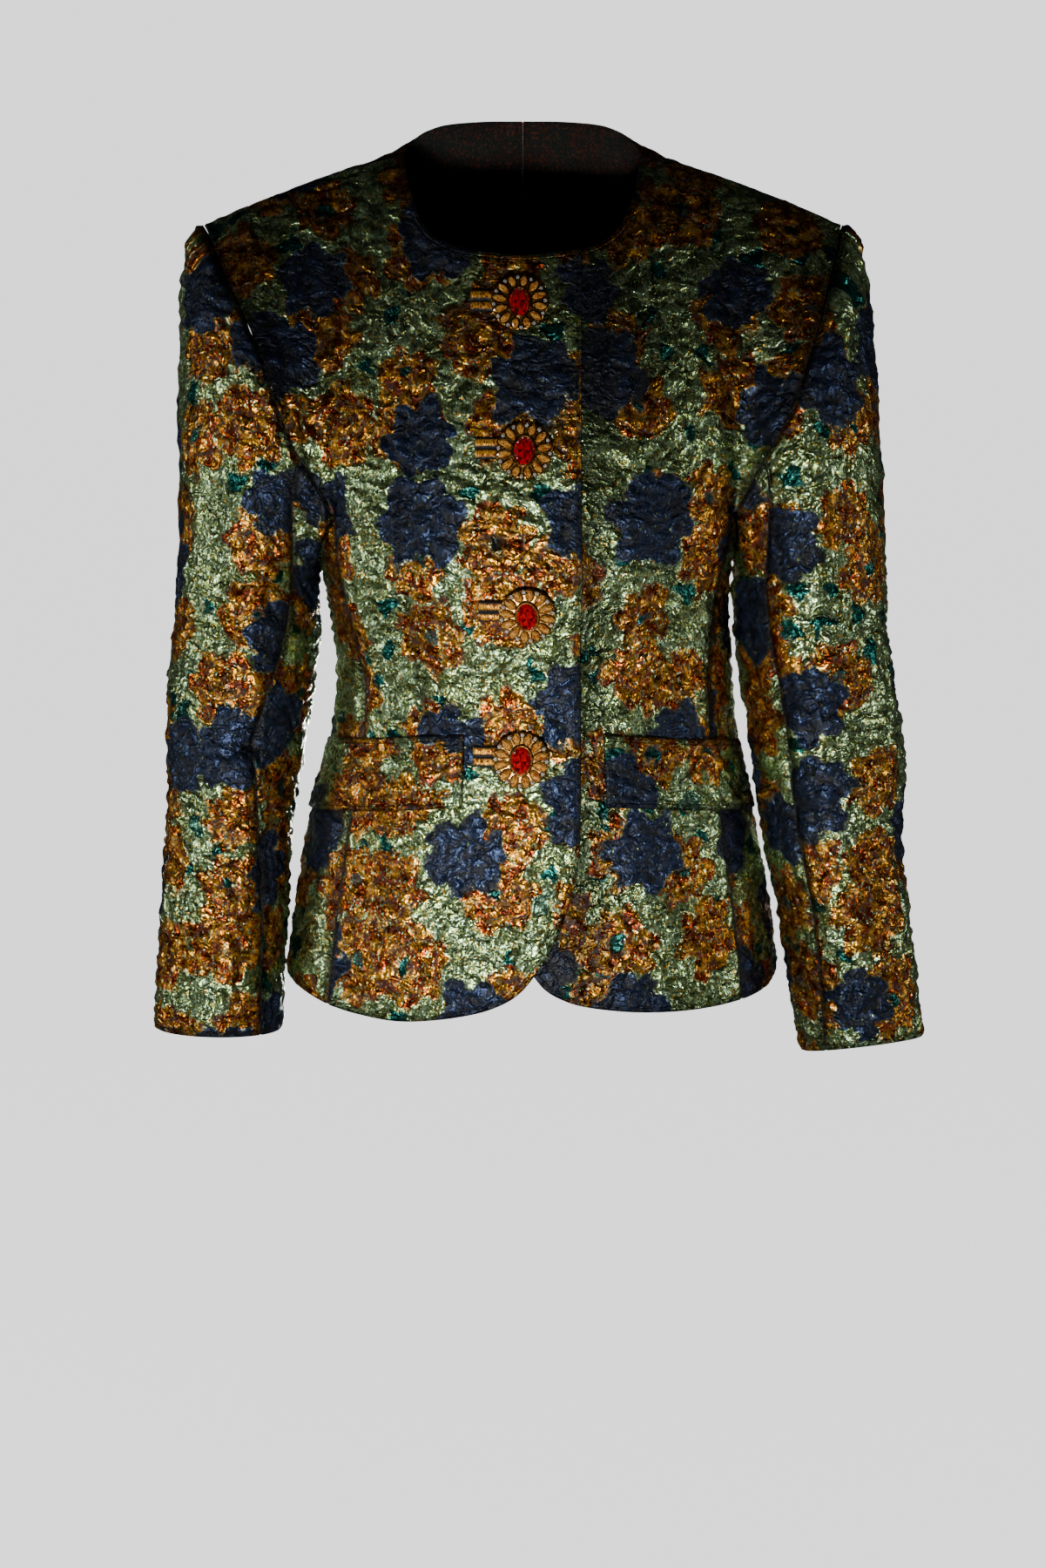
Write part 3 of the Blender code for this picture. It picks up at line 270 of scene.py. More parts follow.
# Camera and lights, in metres
CAMERA_LENS = 85.96
CAMERA_AWAY = 2.6
CAMERA_AIM = (0.0, -0.013, -0.4326)
CAMERA_PITCH = 11.0
LIGHTS = [
    # name, place, aim, size, watts, spread in degrees
    ("key", (-0.28, -2.3, -0.97), (0.0, 0.0, -0.40), 0.32, 1.65, 26.0),
    ("side_right", (-2.4, -0.35, -0.45), (0.0, 0.0, -0.3), 0.5, 18.0, 180.0),
    ("side_left", (2.4, -0.35, -0.50), (0.0, 0.0, -0.35), 0.5, 13.0, 180.0),
    ("back", (0.28, 2.3, -0.97), (0.0, 0.0, -0.33), 0.32, 1.4, 28.0),
]
FLOOR_LEVEL = -1.15
FLOOR_RADIUS = 7.0
FLOOR_BEND = 2.0
FLOOR_WALL = 6.0
FLOOR_GLOW = 1.6
WORLD_GLOW = 0.03
MATERIAL = {}


CURVES = {}                     # tables that are already sorted, with their slopes


def smooth_table(rows, key, column):
    """Value of one column at a level, along a smooth curve through the rows."""
    name = (id(rows), column)
    if name not in CURVES:
        keys = np.array([row[0] for row in rows], float)
        values = np.array([row[column] for row in rows], float)
        if keys[0] > keys[-1]:
            keys = keys[::-1]
            values = values[::-1]
        CURVES[name] = keys, values, np.gradient(values, keys)
    keys, values, slopes = CURVES[name]
    key = np.clip(np.asarray(key, float), keys[0], keys[-1])
    i = np.clip(np.searchsorted(keys, key) - 1, 0, len(keys) - 2)
    span = keys[i + 1] - keys[i]
    t = (key - keys[i]) / span
    return ((2 * t ** 3 - 3 * t ** 2 + 1) * values[i] + (t ** 3 - 2 * t ** 2 + t) * span * slopes[i]
            + (3 * t ** 2 - 2 * t ** 3) * values[i + 1] + (t ** 3 - t ** 2) * span * slopes[i + 1])


class Path:
    """A smooth curve through points, walked by share of its length."""

    def __init__(self, points, steps=16):
        p = np.array(points, float)
        ends = np.vstack([2 * p[0] - p[1], p, 2 * p[-1] - p[-2]])
        dense = []
        for k in range(1, len(ends) - 2):
            a, b, c, d = ends[k - 1], ends[k], ends[k + 1], ends[k + 2]
            for t in np.linspace(0, 1, steps, endpoint=False):
                dense.append(0.5 * (2 * b + (c - a) * t + (2 * a - 5 * b + 4 * c - d) * t ** 2
                                    + (3 * b - a - 3 * c + d) * t ** 3))
        dense.append(p[-1])
        self.points = np.array(dense)
        lengths = np.linalg.norm(np.diff(self.points, axis=0), axis=1)
        self.share = np.concatenate([[0], np.cumsum(lengths)])
        self.length = self.share[-1]
        self.share /= self.length

    def at(self, share):
        share = np.clip(share, 0, 1)
        return np.stack([np.interp(share, self.share, self.points[:, k])
                         for k in range(self.points.shape[1])], axis=-1)

    def share_where(self, axis, value):
        column = self.points[:, axis]
        order = np.argsort(column)
        return float(np.interp(value, column[order], self.share[order]))


def side_column(side):
    return 1 if side < 0 else 2


def ring_size(side, z):
    half = smooth_table(BODY, z, side_column(side))
    front = smooth_table(BODY, z, 3)
    back = smooth_table(BODY, z, 4)
    power = smooth_table(BODY, z, 5)
    return half, front, back, power


def body_point(angle, z):
    """Point of the outer body surface; the signed angle runs from centre front to the back."""
    angle = np.asarray(angle, float)
    z = np.asarray(z, float) + 0 * angle
    angle = angle + 0 * z
    turn = np.radians(angle)
    wide = np.where(angle < 0, ring_size(-1, z)[0], ring_size(1, z)[0])
    _, front, back, power = ring_size(1, z)
    deep = np.where(np.abs(angle) <= 90, front, back)
    radius = ((np.abs(np.cos(turn)) / deep) ** power
              + (np.abs(np.sin(turn)) / wide) ** power) ** (-1 / power)
    return np.stack([radius * np.sin(turn), -radius * np.cos(turn), z], axis=-1)


def angle_at_x(x, z):
    """Signed angle of the front surface point with this x."""
    half, front, _, power = ring_size(-1 if x < 0 else 1, z)
    y = front * (1 - (abs(x) / half) ** power) ** (1 / power)
    return math.degrees(math.atan2(x, y))


def seam_angle(side, z):
    return side * smooth_table(SIDE_SEAM, z, side_column(side))


def mirrored(points, side):
    return [(side * x, y, z) for x, y, z in points]


def side_curves(side):
    """Neckline, chest row, armhole and shoulder of one side, as paths of the yoke grid."""
    seam = float(seam_angle(side, CHEST_Z))
    tip_front = mirrored(ARMHOLE_FRONT[side], side) + [tuple(body_point(seam, CHEST_Z))]
    tip_back = mirrored(ARMHOLE_BACK[side], side) + [tuple(body_point(side * BACK_SEAM, CHEST_Z))]
    return {
        "neck_front": Path(mirrored(NECK_FRONT, side)),
        "neck_back": Path(mirrored(NECK_BACK, side)),
        "arm_front": Path(tip_front),
        "arm_back": Path(tip_back),
        "seam": seam,
    }


def ring_angles(start, end, count):
    """Angles of points spread evenly along the chest ring."""
    angles = np.linspace(start, end, 60)
    points = body_point(angles, CHEST_Z)
    steps = np.concatenate([[0], np.cumsum(np.linalg.norm(np.diff(points, axis=0), axis=1))])
    return np.interp(np.linspace(0, steps[-1], count + 1), steps, angles)


def half_yoke(side):
    """Neck points, outer points and the body angle of each column, centre front to centre back."""
    curves = side_curves(side)
    edge_x = EDGE_X if side > 0 else 2 * NOTCH_X - EDGE_X
    neck_edge = curves["neck_front"].share_where(0, edge_x)
    neck_seam = 0.56
    edge_angle = angle_at_x(edge_x, CHEST_Z)
    neck, outer, angles = [], [], []

    def add(neck_points, outer_points, ring):
        neck.extend(neck_points)
        outer.extend(outer_points)
        angles.extend(ring)

    share = np.linspace(0, 1, EDGE_COLS + 1)[:-1]
    ring = np.array([angle_at_x(edge_x * s, CHEST_Z) for s in share])
    add(curves["neck_front"].at(np.array([curves["neck_front"].share_where(0, edge_x * s)
                                          for s in share])), body_point(ring, CHEST_Z), ring)
    ring = ring_angles(edge_angle, curves["seam"], CHEST_COLS)[:-1]
    share = np.linspace(neck_edge, neck_seam, CHEST_COLS + 1)[:-1]
    add(curves["neck_front"].at(share), body_point(ring, CHEST_Z), ring)
    share = np.linspace(0, 1, ARM_FRONT_COLS + 1)[:-1]
    add(curves["neck_front"].at(neck_seam + (1 - neck_seam) * share),
        curves["arm_front"].at(1 - share), [curves["seam"]] + [None] * (ARM_FRONT_COLS - 1))
    share = np.linspace(0, 1, ARM_BACK_COLS + 1)[:-1]
    add(curves["neck_back"].at(0.45 * share), curves["arm_back"].at(share),
        [None] * ARM_BACK_COLS)
    share = np.linspace(0, 1, BACK_COLS + 1)
    ring = ring_angles(side * BACK_SEAM, side * 180.0, BACK_COLS)
    add(curves["neck_back"].at(0.45 + 0.55 * share), body_point(ring, CHEST_Z), ring)
    return np.array(neck), np.array(outer), angles


def yoke_grid():
    """The cloth above the chest line as rings about the neck; solved to bend as little as it can.

    Column 0 is centre front; columns run round the +X side to the centre back and on.
    """
    right_neck, right_outer, right_ring = half_yoke(1)
    left_neck, left_outer, left_ring = half_yoke(-1)
    half = len(right_neck) - 1
    neck = np.vstack([right_neck[:-1], left_neck[::-1][:-1]])
    outer = np.vstack([right_outer[:-1], left_outer[::-1][:-1]])
    ring = right_ring[:-1] + left_ring[::-1][:-1]
    count = 2 * half
    rows = YOKE_ROWS
    fixed = {}
    for i in range(count):
        fixed[i, 0] = neck[i]
        fixed[i, rows] = outer[i]
        if ring[i] is not None:
            fixed[i, rows + 1] = body_point(ring[i], CHEST_Z - 17.0)
    tip = EDGE_COLS + CHEST_COLS + ARM_FRONT_COLS
    lines = {0: Path(CENTRE_FRONT), half: Path(CENTRE_BACK),
             tip: Path(mirrored(SHOULDER, 1)), count - tip: Path(mirrored(SHOULDER, -1))}
    for column, path in lines.items():
        for j in range(1, rows):
            fixed[column, j] = path.at(j / rows)
    for column in range(-EDGE_COLS, EDGE_COLS + 1):
        for j in range(1, rows):
            share = j / rows
            fixed[column % count, j] = (lines[0].at(share)
                                        + (1 - share) * (neck[column % count] - neck[0])
                                        + share * (outer[column % count] - outer[0]))
    free = [(i, j) for i in range(count) for j in range(1, rows) if (i, j) not in fixed]
    place = {cell: k for k, cell in enumerate(free)}
    equations = []

    def bend(cells, weights, strength):
        equations.append([(((i % count), j), w * strength) for (i, j), w in zip(cells, weights)])

    for i in range(count):
        for j in range(1, rows + 1):
            if j < rows or ((i, rows + 1) in fixed):
                bend([(i, j - 1), (i, j), (i, j + 1)], (1, -2, 1), 1.0)
            if j < rows:
                bend([(i - 1, j), (i, j), (i + 1, j)], (1, -2, 1), 1.0)
                bend([(i, j), (i + 1, j), (i, j + 1), (i + 1, j + 1)], (1, -1, -1, 1), 0.3)
    matrix = np.zeros((len(equations), len(free)))
    target = np.zeros((len(equations), 3))
    for row, terms in enumerate(equations):
        for cell, weight in terms:
            if cell in place:
                matrix[row, place[cell]] += weight
            else:
                target[row] -= weight * np.asarray(fixed[cell])
    solved = np.linalg.lstsq(matrix, target, rcond=None)[0]
    grid = np.zeros((count, rows + 1, 3))
    for i in range(count):
        for j in range(rows + 1):
            grid[i, j] = solved[place[i, j]] if (i, j) in place else fixed[i, j]
    return grid, ring, half, tip


def patch_between(top, bottom, left, right):
    """Fill a four sided patch of the (angle, level) plane from its borders."""
    columns, rows = len(top), len(left)
    u = np.linspace(0, 1, columns)[:, None, None]
    v = np.linspace(0, 1, rows)[None, :, None]
    top, bottom = np.array(top)[:, None, :], np.array(bottom)[:, None, :]
    left, right = np.array(left)[None, :, :], np.array(right)[None, :, :]
    corners = ((1 - u) * (1 - v) * top[0] + u * (1 - v) * top[-1]
               + (1 - u) * v * bottom[0] + u * v * bottom[-1])
    return (1 - v) * top + v * bottom + (1 - u) * left + u * right - corners


def hem_level(side, angle):
    return float(smooth_table(HEM, abs(angle), side_column(side)))


def seam_foot(side):
    """Angle and level where the side front seam meets the hem."""
    angle = float(seam_angle(side, -574.0))
    return angle, hem_level(side, angle)


def front_patch(side, ring):
    """Body part of a front in the (angle, level) plane, from its front edge to the side seam."""
    shares = np.linspace(0, 1, FINE * BODY_ROWS + 1)
    if side < 0:
        edge = Path([(angle_at_x(x, z), z) for x, z in FRONT_EDGE])
        hem = [(angle_at_x(x, z), z) for x, z in HEM_FRONT_LEFT] + [seam_foot(side)]
    else:
        edge = Path([(angle_at_x(2 * NOTCH_X - x, z), z) for x, z in FRONT_EDGE])
        hem = [(angle_at_x(x, z), z) for x, z in HEM_FRONT_RIGHT] + [seam_foot(side)]
    top = [(angle, CHEST_Z) for angle in ring]
    lengths = np.abs(np.diff(ring))
    along = np.concatenate([[0], np.cumsum(lengths)]) / lengths.sum()
    foot_angle, foot_z = seam_foot(side)
    levels = np.linspace(CHEST_Z, foot_z, FINE * BODY_ROWS + 1)
    right = [(float(seam_angle(side, z)), z) for z in levels]
    right[-1] = (foot_angle, foot_z)
    return patch_between(top, Path(hem).at(along), edge.at(shares), right)


def armhole_foot(side, share):
    """Angle and level along the bottom of the armhole, from the front to the back corner."""
    start = float(seam_angle(side, CHEST_Z))
    end = side * BACK_SEAM
    angle = start + (end - start) * share
    level = UNDERARM_Z + (CHEST_Z - UNDERARM_Z) * (2 * share - 1) ** 2
    return angle, level


def side_patch(side):
    shares = np.linspace(0, 1, FINE * SIDE_COLS + 1)
    top = [armhole_foot(side, s) for s in shares]
    foot_angle, foot_z = seam_foot(side)
    angles = foot_angle + (side * BACK_SEAM - foot_angle) * shares
    bottom = [(a, hem_level(side, a)) for a in angles]
    bottom[0] = (foot_angle, foot_z)
    levels = np.linspace(CHEST_Z, foot_z, FINE * BODY_ROWS + 1)
    left = [(float(seam_angle(side, z)), z) for z in levels]
    left[-1] = (foot_angle, foot_z)
    levels = np.linspace(CHEST_Z, bottom[-1][1], FINE * BODY_ROWS + 1)
    right = [(side * BACK_SEAM, z) for z in levels]
    return patch_between(top, bottom, left, right)


def back_patch(side, ring):
    top = [(angle, CHEST_Z) for angle in ring]
    bottom = [(angle, hem_level(side, angle)) for angle in ring]
    left = [(ring[0], z) for z in np.linspace(CHEST_Z, bottom[0][1], FINE * BODY_ROWS + 1)]
    right = [(ring[-1], z) for z in np.linspace(CHEST_Z, bottom[-1][1], FINE * BODY_ROWS + 1)]
    return patch_between(top, bottom, left, right)


def on_body(patch):
    return body_point(patch[..., 0], patch[..., 1])


def sleeve_start(side):
    """Armhole points that the sleeve grows from, at the columns of the body: tip, front, foot,
    back; with the column number of the front seam, the foot, the back seam and the tip again."""
    curves = side_curves(side)
    front = curves["arm_front"].at(np.linspace(0, 1, ARM_FRONT_COLS + 1))[:-1]
    shares = np.linspace(0, 1, SIDE_COLS + 1)[:-1]
    foot = body_point(*np.array([armhole_foot(side, s) for s in shares]).T)
    back = curves["arm_back"].at(np.linspace(1, 0, ARM_BACK_COLS + 1))[:-1]
    lowest = ARM_FRONT_COLS + SIDE_COLS // 2
    back_seam = ARM_FRONT_COLS + SIDE_COLS + ARM_BACK_COLS - SLEEVE_BACK_SEAM
    total = ARM_FRONT_COLS + SIDE_COLS + ARM_BACK_COLS
    knots = [0, ARM_FRONT_COLS - SLEEVE_FRONT_SEAM, lowest, back_seam, total]
    return np.vstack([front, foot, back]), knots


def sleeve_section(side, z, angle):
    """Point of the sleeve ring at a level; the angle runs from outside over the front."""
    outer, inner, middle, deep, _, tilt, lean = [smooth_table(SLEEVE[side], z, k)
                                                 for k in range(1, 8)]
    turn = np.radians(angle)
    across = (outer + inner) / 2 + (outer - inner) / 2 * np.cos(turn)
    shape = np.sign(np.sin(turn)) * np.abs(np.sin(turn)) ** 0.92
    rise = tilt * np.cos(turn) + lean * np.sin(turn)
    return np.stack([side * across, middle - deep * shape, z + rise], axis=-1)


def seam_turn(side, z):
    """Angle of the front sleeve seam at a level."""
    share = smooth_table(SLEEVE[side], z, 5)
    return np.degrees(np.arccos(1 - 2 * share))


def sleeve_grid(side):
    """Sleeve columns from the shoulder tip round the front, rows from the armhole to the cuff."""
    start, knots = sleeve_start(side)
    columns_knot = np.interp(range(knots[-1]), knots, range(5))
    radial = start - start.mean(axis=0)
    radial[:, 0] = 0
    radial /= np.linalg.norm(radial, axis=1)[:, None]
    up = np.clip(radial[:, 2], 0, 1)
    down = np.clip(-radial[:, 2], 0, 1)
    leave = np.stack([side * (0.9 - 0.4 * down), 0.42 * radial[:, 1],
                      0.27 * up ** 2 - 0.15 * (1 - up) * (1 - down) - 0.85 * down], axis=-1)
    leave /= np.linalg.norm(leave, axis=1)[:, None]
    clear = np.stack([side * np.ones(len(start)), radial[:, 1] * (1 - down),
                      np.abs(radial[:, 2])], axis=-1)
    start = start + 1.5 * SEAM_GAP * clear / np.linalg.norm(clear, axis=1)[:, None]

    def angles_at(z):
        front_turn = seam_turn(side, z)
        turns = [0.0, front_turn, 180.0, 360.0 - SLEEVE_BACK_ANGLE, 360.0]
        return np.interp(columns_knot, range(5), turns)

    rows = [start]
    bicep = sleeve_section(side, BICEP_Z, angles_at(BICEP_Z))
    below = sleeve_section(side, BICEP_Z - 6, angles_at(BICEP_Z - 6))
    fall = (below - bicep) / np.linalg.norm(below - bicep, axis=1)[:, None]
    reach = np.linalg.norm(bicep - start, axis=1)[:, None]
    push = np.clip(reach * 0.5, 12, 40) + 36 * up[:, None] ** 2
    for row in range(1, SLEEVE_HEAD_ROWS):
        t = (row / SLEEVE_HEAD_ROWS) ** 1.25
        rows.append((2 * t ** 3 - 3 * t ** 2 + 1) * start + (t ** 3 - 2 * t ** 2 + t) * leave * push
                    + (3 * t ** 2 - 2 * t ** 3) * bicep + (t ** 3 - t ** 2) * fall * reach * 0.8)
    for z in np.linspace(BICEP_Z, SLEEVE[side][-1][0], SLEEVE_ROWS + 1):
        rows.append(sleeve_section(side, z, angles_at(z)))
    return np.stack(rows, axis=1), knots


def under_lap(points):
    """How far the under front lies behind the upper one."""
    t = np.clip((78.0 - points[:, 0]) / 34.0, 0, 1)
    return (WALL + OVER_GAP) * t * t * (3 - 2 * t)


FRONT_LINE = Path(CENTRE_FRONT)


def front_point(x, z):
    """Point of the upper front near the centre line."""
    if z <= CHEST_Z:
        return body_point(angle_at_x(x, z), z)
    share = FRONT_LINE.share_where(2, z)
    curve = body_point(angle_at_x(x, CHEST_Z), CHEST_Z)[1] - body_point(0.0, CHEST_Z)[1]
    return FRONT_LINE.at(share) + np.array([x, share * curve, 0.0])


def front_normal(x, z):
    across = front_point(x + 2, z) - front_point(x - 2, z)
    up = front_point(x, z + 2) - front_point(x, z - 2)
    normal = np.cross(across, up)
    return normal / np.linalg.norm(normal)


def button_frame(x, z, turn):
    """Place, outward direction and turned axes of a button."""
    normal = front_normal(x, z)
    across = np.array([1.0, 0, 0]) - normal * normal[0]
    across /= np.linalg.norm(across)
    up = np.cross(normal, across)
    angle = math.radians(turn)
    right = across * math.cos(angle) + up * math.sin(angle)
    upward = up * math.cos(angle) - across * math.sin(angle)
    return front_point(x, z), normal, right, upward


def refine(grid, axis, cyclic=False, times=None):
    """Divide the cells of a grid along one axis by a smooth curve through its points."""
    times = times or FINE
    grid = np.moveaxis(np.asarray(grid, float), axis, 0)
    if cyclic:
        padded = np.concatenate([grid[-1:], grid, grid[:2]])
        spans = len(grid)
    else:
        padded = np.concatenate([2 * grid[:1] - grid[1:2], grid, 2 * grid[-1:] - grid[-2:-1]])
        spans = len(grid) - 1
    parts = []
    for step in range(times):
        t = step / times
        weights = ((-t + 2 * t * t - t ** 3) / 2, (2 - 5 * t * t + 3 * t ** 3) / 2,
                   (t + 4 * t * t - 3 * t ** 3) / 2, (t ** 3 - t * t) / 2)
        parts.append(sum(w * padded[k:k + spans] for k, w in enumerate(weights)))
    fine = np.stack(parts, axis=1).reshape(spans * times, *grid.shape[1:])
    if not cyclic:
        fine = np.concatenate([fine, grid[-1:]])
    return np.moveaxis(fine, 0, axis)


def fine_ring(ring):
    """Angles of the chest ring between the columns."""
    columns = np.arange(len(ring))
    return np.interp(np.linspace(0, len(ring) - 1, FINE * (len(ring) - 1) + 1), columns, ring)


ANGLES = np.random.default_rng(11).random((256, 256)) * 2 * math.pi


def noise(u, v, seed=0):
    """Smooth noise of the plane, about -1 to 1, with cells of size 1."""
    i, j = np.floor(u).astype(int), np.floor(v).astype(int)
    fu, fv = u - i, v - j
    total = np.zeros_like(fu)
    for di in (0, 1):
        for dj in (0, 1):
            turn = ANGLES[(i + di + 17 * seed) % 256, (j + dj + 31 * seed) % 256]
            a, b = 1 - np.abs(fu - di), 1 - np.abs(fv - dj)
            weight = a * a * (3 - 2 * a) * b * b * (3 - 2 * b)
            total += weight * (np.cos(turn) * (fu - di) + np.sin(turn) * (fv - dj))
    return total * 1.6


def away_from(points, lines):
    """Distance of each point from the nearest of some polylines, up to REACH."""
    samples = []
    for line in lines:
        line = np.asarray(line, float)
        for t in (0.0, 0.25, 0.5, 0.75):
            samples.append(line[:-1] * (1 - t) + line[1:] * t)
        samples.append(line[-1:])
    if not samples:
        return np.full(len(points), REACH)
    samples = np.vstack(samples)
    tree = KDTree(len(samples))
    for k, sample in enumerate(samples):
        tree.insert(sample, k)
    tree.balance()
    return np.minimum([tree.find(p)[2] for p in points], REACH)


class Cloth:
    """One cut piece: fine grids welded where they share points, with the grids round it."""

    def __init__(self, grids, around=(), turned=False):
        self.grids = []
        stacked = np.vstack([g.reshape(-1, 3) for g in list(grids) + list(around)])
        _, first, index = np.unique(np.round(stacked, 2), axis=0, return_index=True,
                                    return_inverse=True)
        index = index.ravel()
        self.points = stacked[first]
        start = 0
        for grid in list(grids) + list(around):
            size = grid.shape[0] * grid.shape[1]
            self.grids.append(index[start:start + size].reshape(grid.shape[:2]))
            start += size
        self.own = self.grids[:len(grids)]
        self.beyond = self.grids[len(grids):]
        self.turned = turned
        self.quads = self.quads_of(self.own, 1)
        self.coarse = self.quads_of(self.own, COARSE)
        self.all_quads = self.quads_of(self.grids, 1)
        self.used = np.unique(self.quads)

    def quads_of(self, grids, step):
        found = []
        for grid in grids:
            g = grid[::step, ::step]
            quads = np.stack([g[:-1, :-1], g[:-1, 1:], g[1:, 1:], g[1:, :-1]], axis=-1)
            quads = quads.reshape(-1, 4)
            found.append(quads[:, ::-1] if self.turned else quads)
        return np.vstack(found)

    def normals(self, points=None):
        points = self.points if points is None else points
        a, b, c, d = (points[self.all_quads[:, k]] for k in range(4))
        face = np.cross(c - a, d - b)
        normals = np.zeros_like(points)
        for k in range(4):
            for axis in range(3):
                normals[:, axis] += np.bincount(self.all_quads[:, k], face[:, axis], len(points))
        return normals / np.maximum(np.linalg.norm(normals, axis=1), 1e-9)[:, None]

    def border(self, quads):
        """Border edges of some quads, in the direction of their face."""
        size = len(self.points)
        a = quads.ravel()
        b = np.roll(quads, -1, axis=1).ravel()
        keep = ~np.isin(a * size + b, b * size + a)
        return a[keep], b[keep]

    def outward(self, points, normals):
        """Direction that leaves the piece along the cloth, at each border point."""
        a, b = self.border(self.quads)
        edge = points[b] - points[a]
        out = np.cross(edge, normals[a] + normals[b])
        out /= np.maximum(np.linalg.norm(out, axis=1), 1e-9)[:, None]
        move = np.zeros_like(points)
        for ends in (a, b):
            np.add.at(move, ends, out)
        length = np.linalg.norm(move, axis=1)[:, None]
        return move / np.maximum(length, 1.0)

    def border_lines(self, chosen):
        """The border edges whose two ends are both chosen, as short lines."""
        a, b = self.border(self.quads)
        return [self.points[[i, j]] for i, j in zip(a, b) if chosen[i] and chosen[j]]

    def flatten(self, start):
        """Lay the piece flat: relax a start layout until its lengths are those of the cloth."""
        coarse_ids = [g[::FINE, ::FINE] for g in self.own]
        ids = np.unique(np.concatenate([g.ravel() for g in coarse_ids]))
        place = np.full(len(self.points), -1)
        place[ids] = np.arange(len(ids))
        pairs = []
        for g in coarse_ids:
            for a, b in ((g[1:], g[:-1]), (g[:, 1:], g[:, :-1]),
                         (g[1:, 1:], g[:-1, :-1]), (g[1:, :-1], g[:-1, 1:])):
                pairs.append(np.stack([a.ravel(), b.ravel()], axis=-1))
        pairs = np.unique(np.vstack(pairs), axis=0)
        rest = np.linalg.norm(self.points[pairs[:, 0]] - self.points[pairs[:, 1]], axis=1)
        a, b = place[pairs[:, 0]], place[pairs[:, 1]]
        flat = start(self.points[ids], ids)
        share = 1.0 / np.bincount(np.concatenate([a, b]), minlength=len(ids))
        for _ in range(FLATTEN_STEPS):
            way = flat[b] - flat[a]
            length = np.linalg.norm(way, axis=1)
            pull = way * ((length - rest) / np.maximum(length, 1e-6) * 0.6)[:, None]
            for axis in range(2):
                flat[:, axis] += share * (np.bincount(a, pull[:, axis], len(ids))
                                          - np.bincount(b, pull[:, axis], len(ids)))
        self.flat = np.zeros((len(self.points), 2))
        area = 0.0
        for g, small in zip(self.own, coarse_ids):
            laid = refine(refine(flat[place[small]], 0), 1)
            self.flat[g] = laid
            across = laid[1:, 1:] - laid[:-1, :-1]
            other = laid[1:, :-1] - laid[:-1, 1:]
            area += np.abs(across[..., 0] * other[..., 1] - across[..., 1] * other[..., 0]).sum() / 2
        size = flat.max(axis=0) - flat.min(axis=0)
        self.cut = (size[0] * MM, size[1] * MM, area * MM * MM)


def crease_lift(points, region):
    """Height of the creases placed in one region, tapered to their ends."""
    lift = np.zeros(len(points))
    for part, start, end, width, height in CREASES + FINE_CREASES:
        if part != region:
            continue
        a, b = np.array(start), np.array(end)
        line = b - a
        share = ((points - a) @ line) / (line @ line)
        along = np.clip(share, 0, 1)
        away = np.linalg.norm(points - (a + along[:, None] * line), axis=1)
        lift += height * np.exp(-(away / width) ** 2)
    return lift


def blisters(u, v, z, smooth):
    """Relief of the figured cloth, 0 in the tight lines between the puffs and 1 on top."""
    bend = noise(u / 46, v / 46, 1) * 9
    shift = noise(u / 30, v / 30, 2) * 6
    level = np.abs(noise((u + shift) / 17, (v + bend) / 9.5, 3))
    slant_u = 0.71 * u + 0.71 * v
    slant_v = -0.71 * u + 0.71 * v
    slant = np.abs(noise((slant_u + shift) / 16, (slant_v + bend) / 9.0, 4))
    hips = np.clip((-430 - z) / 70, 0, 1)
    hips = hips * hips * (3 - 2 * hips) * smooth
    wide = level * (1 - hips) + slant * hips
    small = np.abs(noise((u + bend) / 7.0, (v + shift) / 5.2, 5))
    return np.clip(wide * 1.7, 0, 1.2) ** 0.7 * 0.78 + np.clip(small * 1.8, 0, 1.2) ** 0.8 * 0.30


def link_mesh(name, points, faces, materials, picks=None):
    mesh = bpy.data.meshes.new(name)
    placed = (np.asarray(points) - np.array(ORIGIN)) * MM
    mesh.from_pydata(placed.tolist(), [], [list(map(int, f)) for f in faces])
    for material in materials:
        mesh.materials.append(material)
    if picks is not None:
        mesh.polygons.foreach_set("material_index", np.asarray(picks, np.int32))
    mesh.update()
    obj = bpy.data.objects.new(name, mesh)
    bpy.context.scene.collection.objects.link(obj)
    return obj


def shade(obj, smooth):
    obj.data.polygons.foreach_set("use_smooth", np.full(len(obj.data.polygons), smooth))
    return obj


def paint(obj, name, values):
    """Give each point of a mesh one value, or one place on the flat cloth."""
    values = np.asarray(values, np.float32)
    kind = "FLOAT" if values.ndim == 1 else "FLOAT_VECTOR"
    layer = obj.data.attributes.new(name, kind, "POINT")
    layer.data.foreach_set("value" if values.ndim == 1 else "vector", values.ravel())


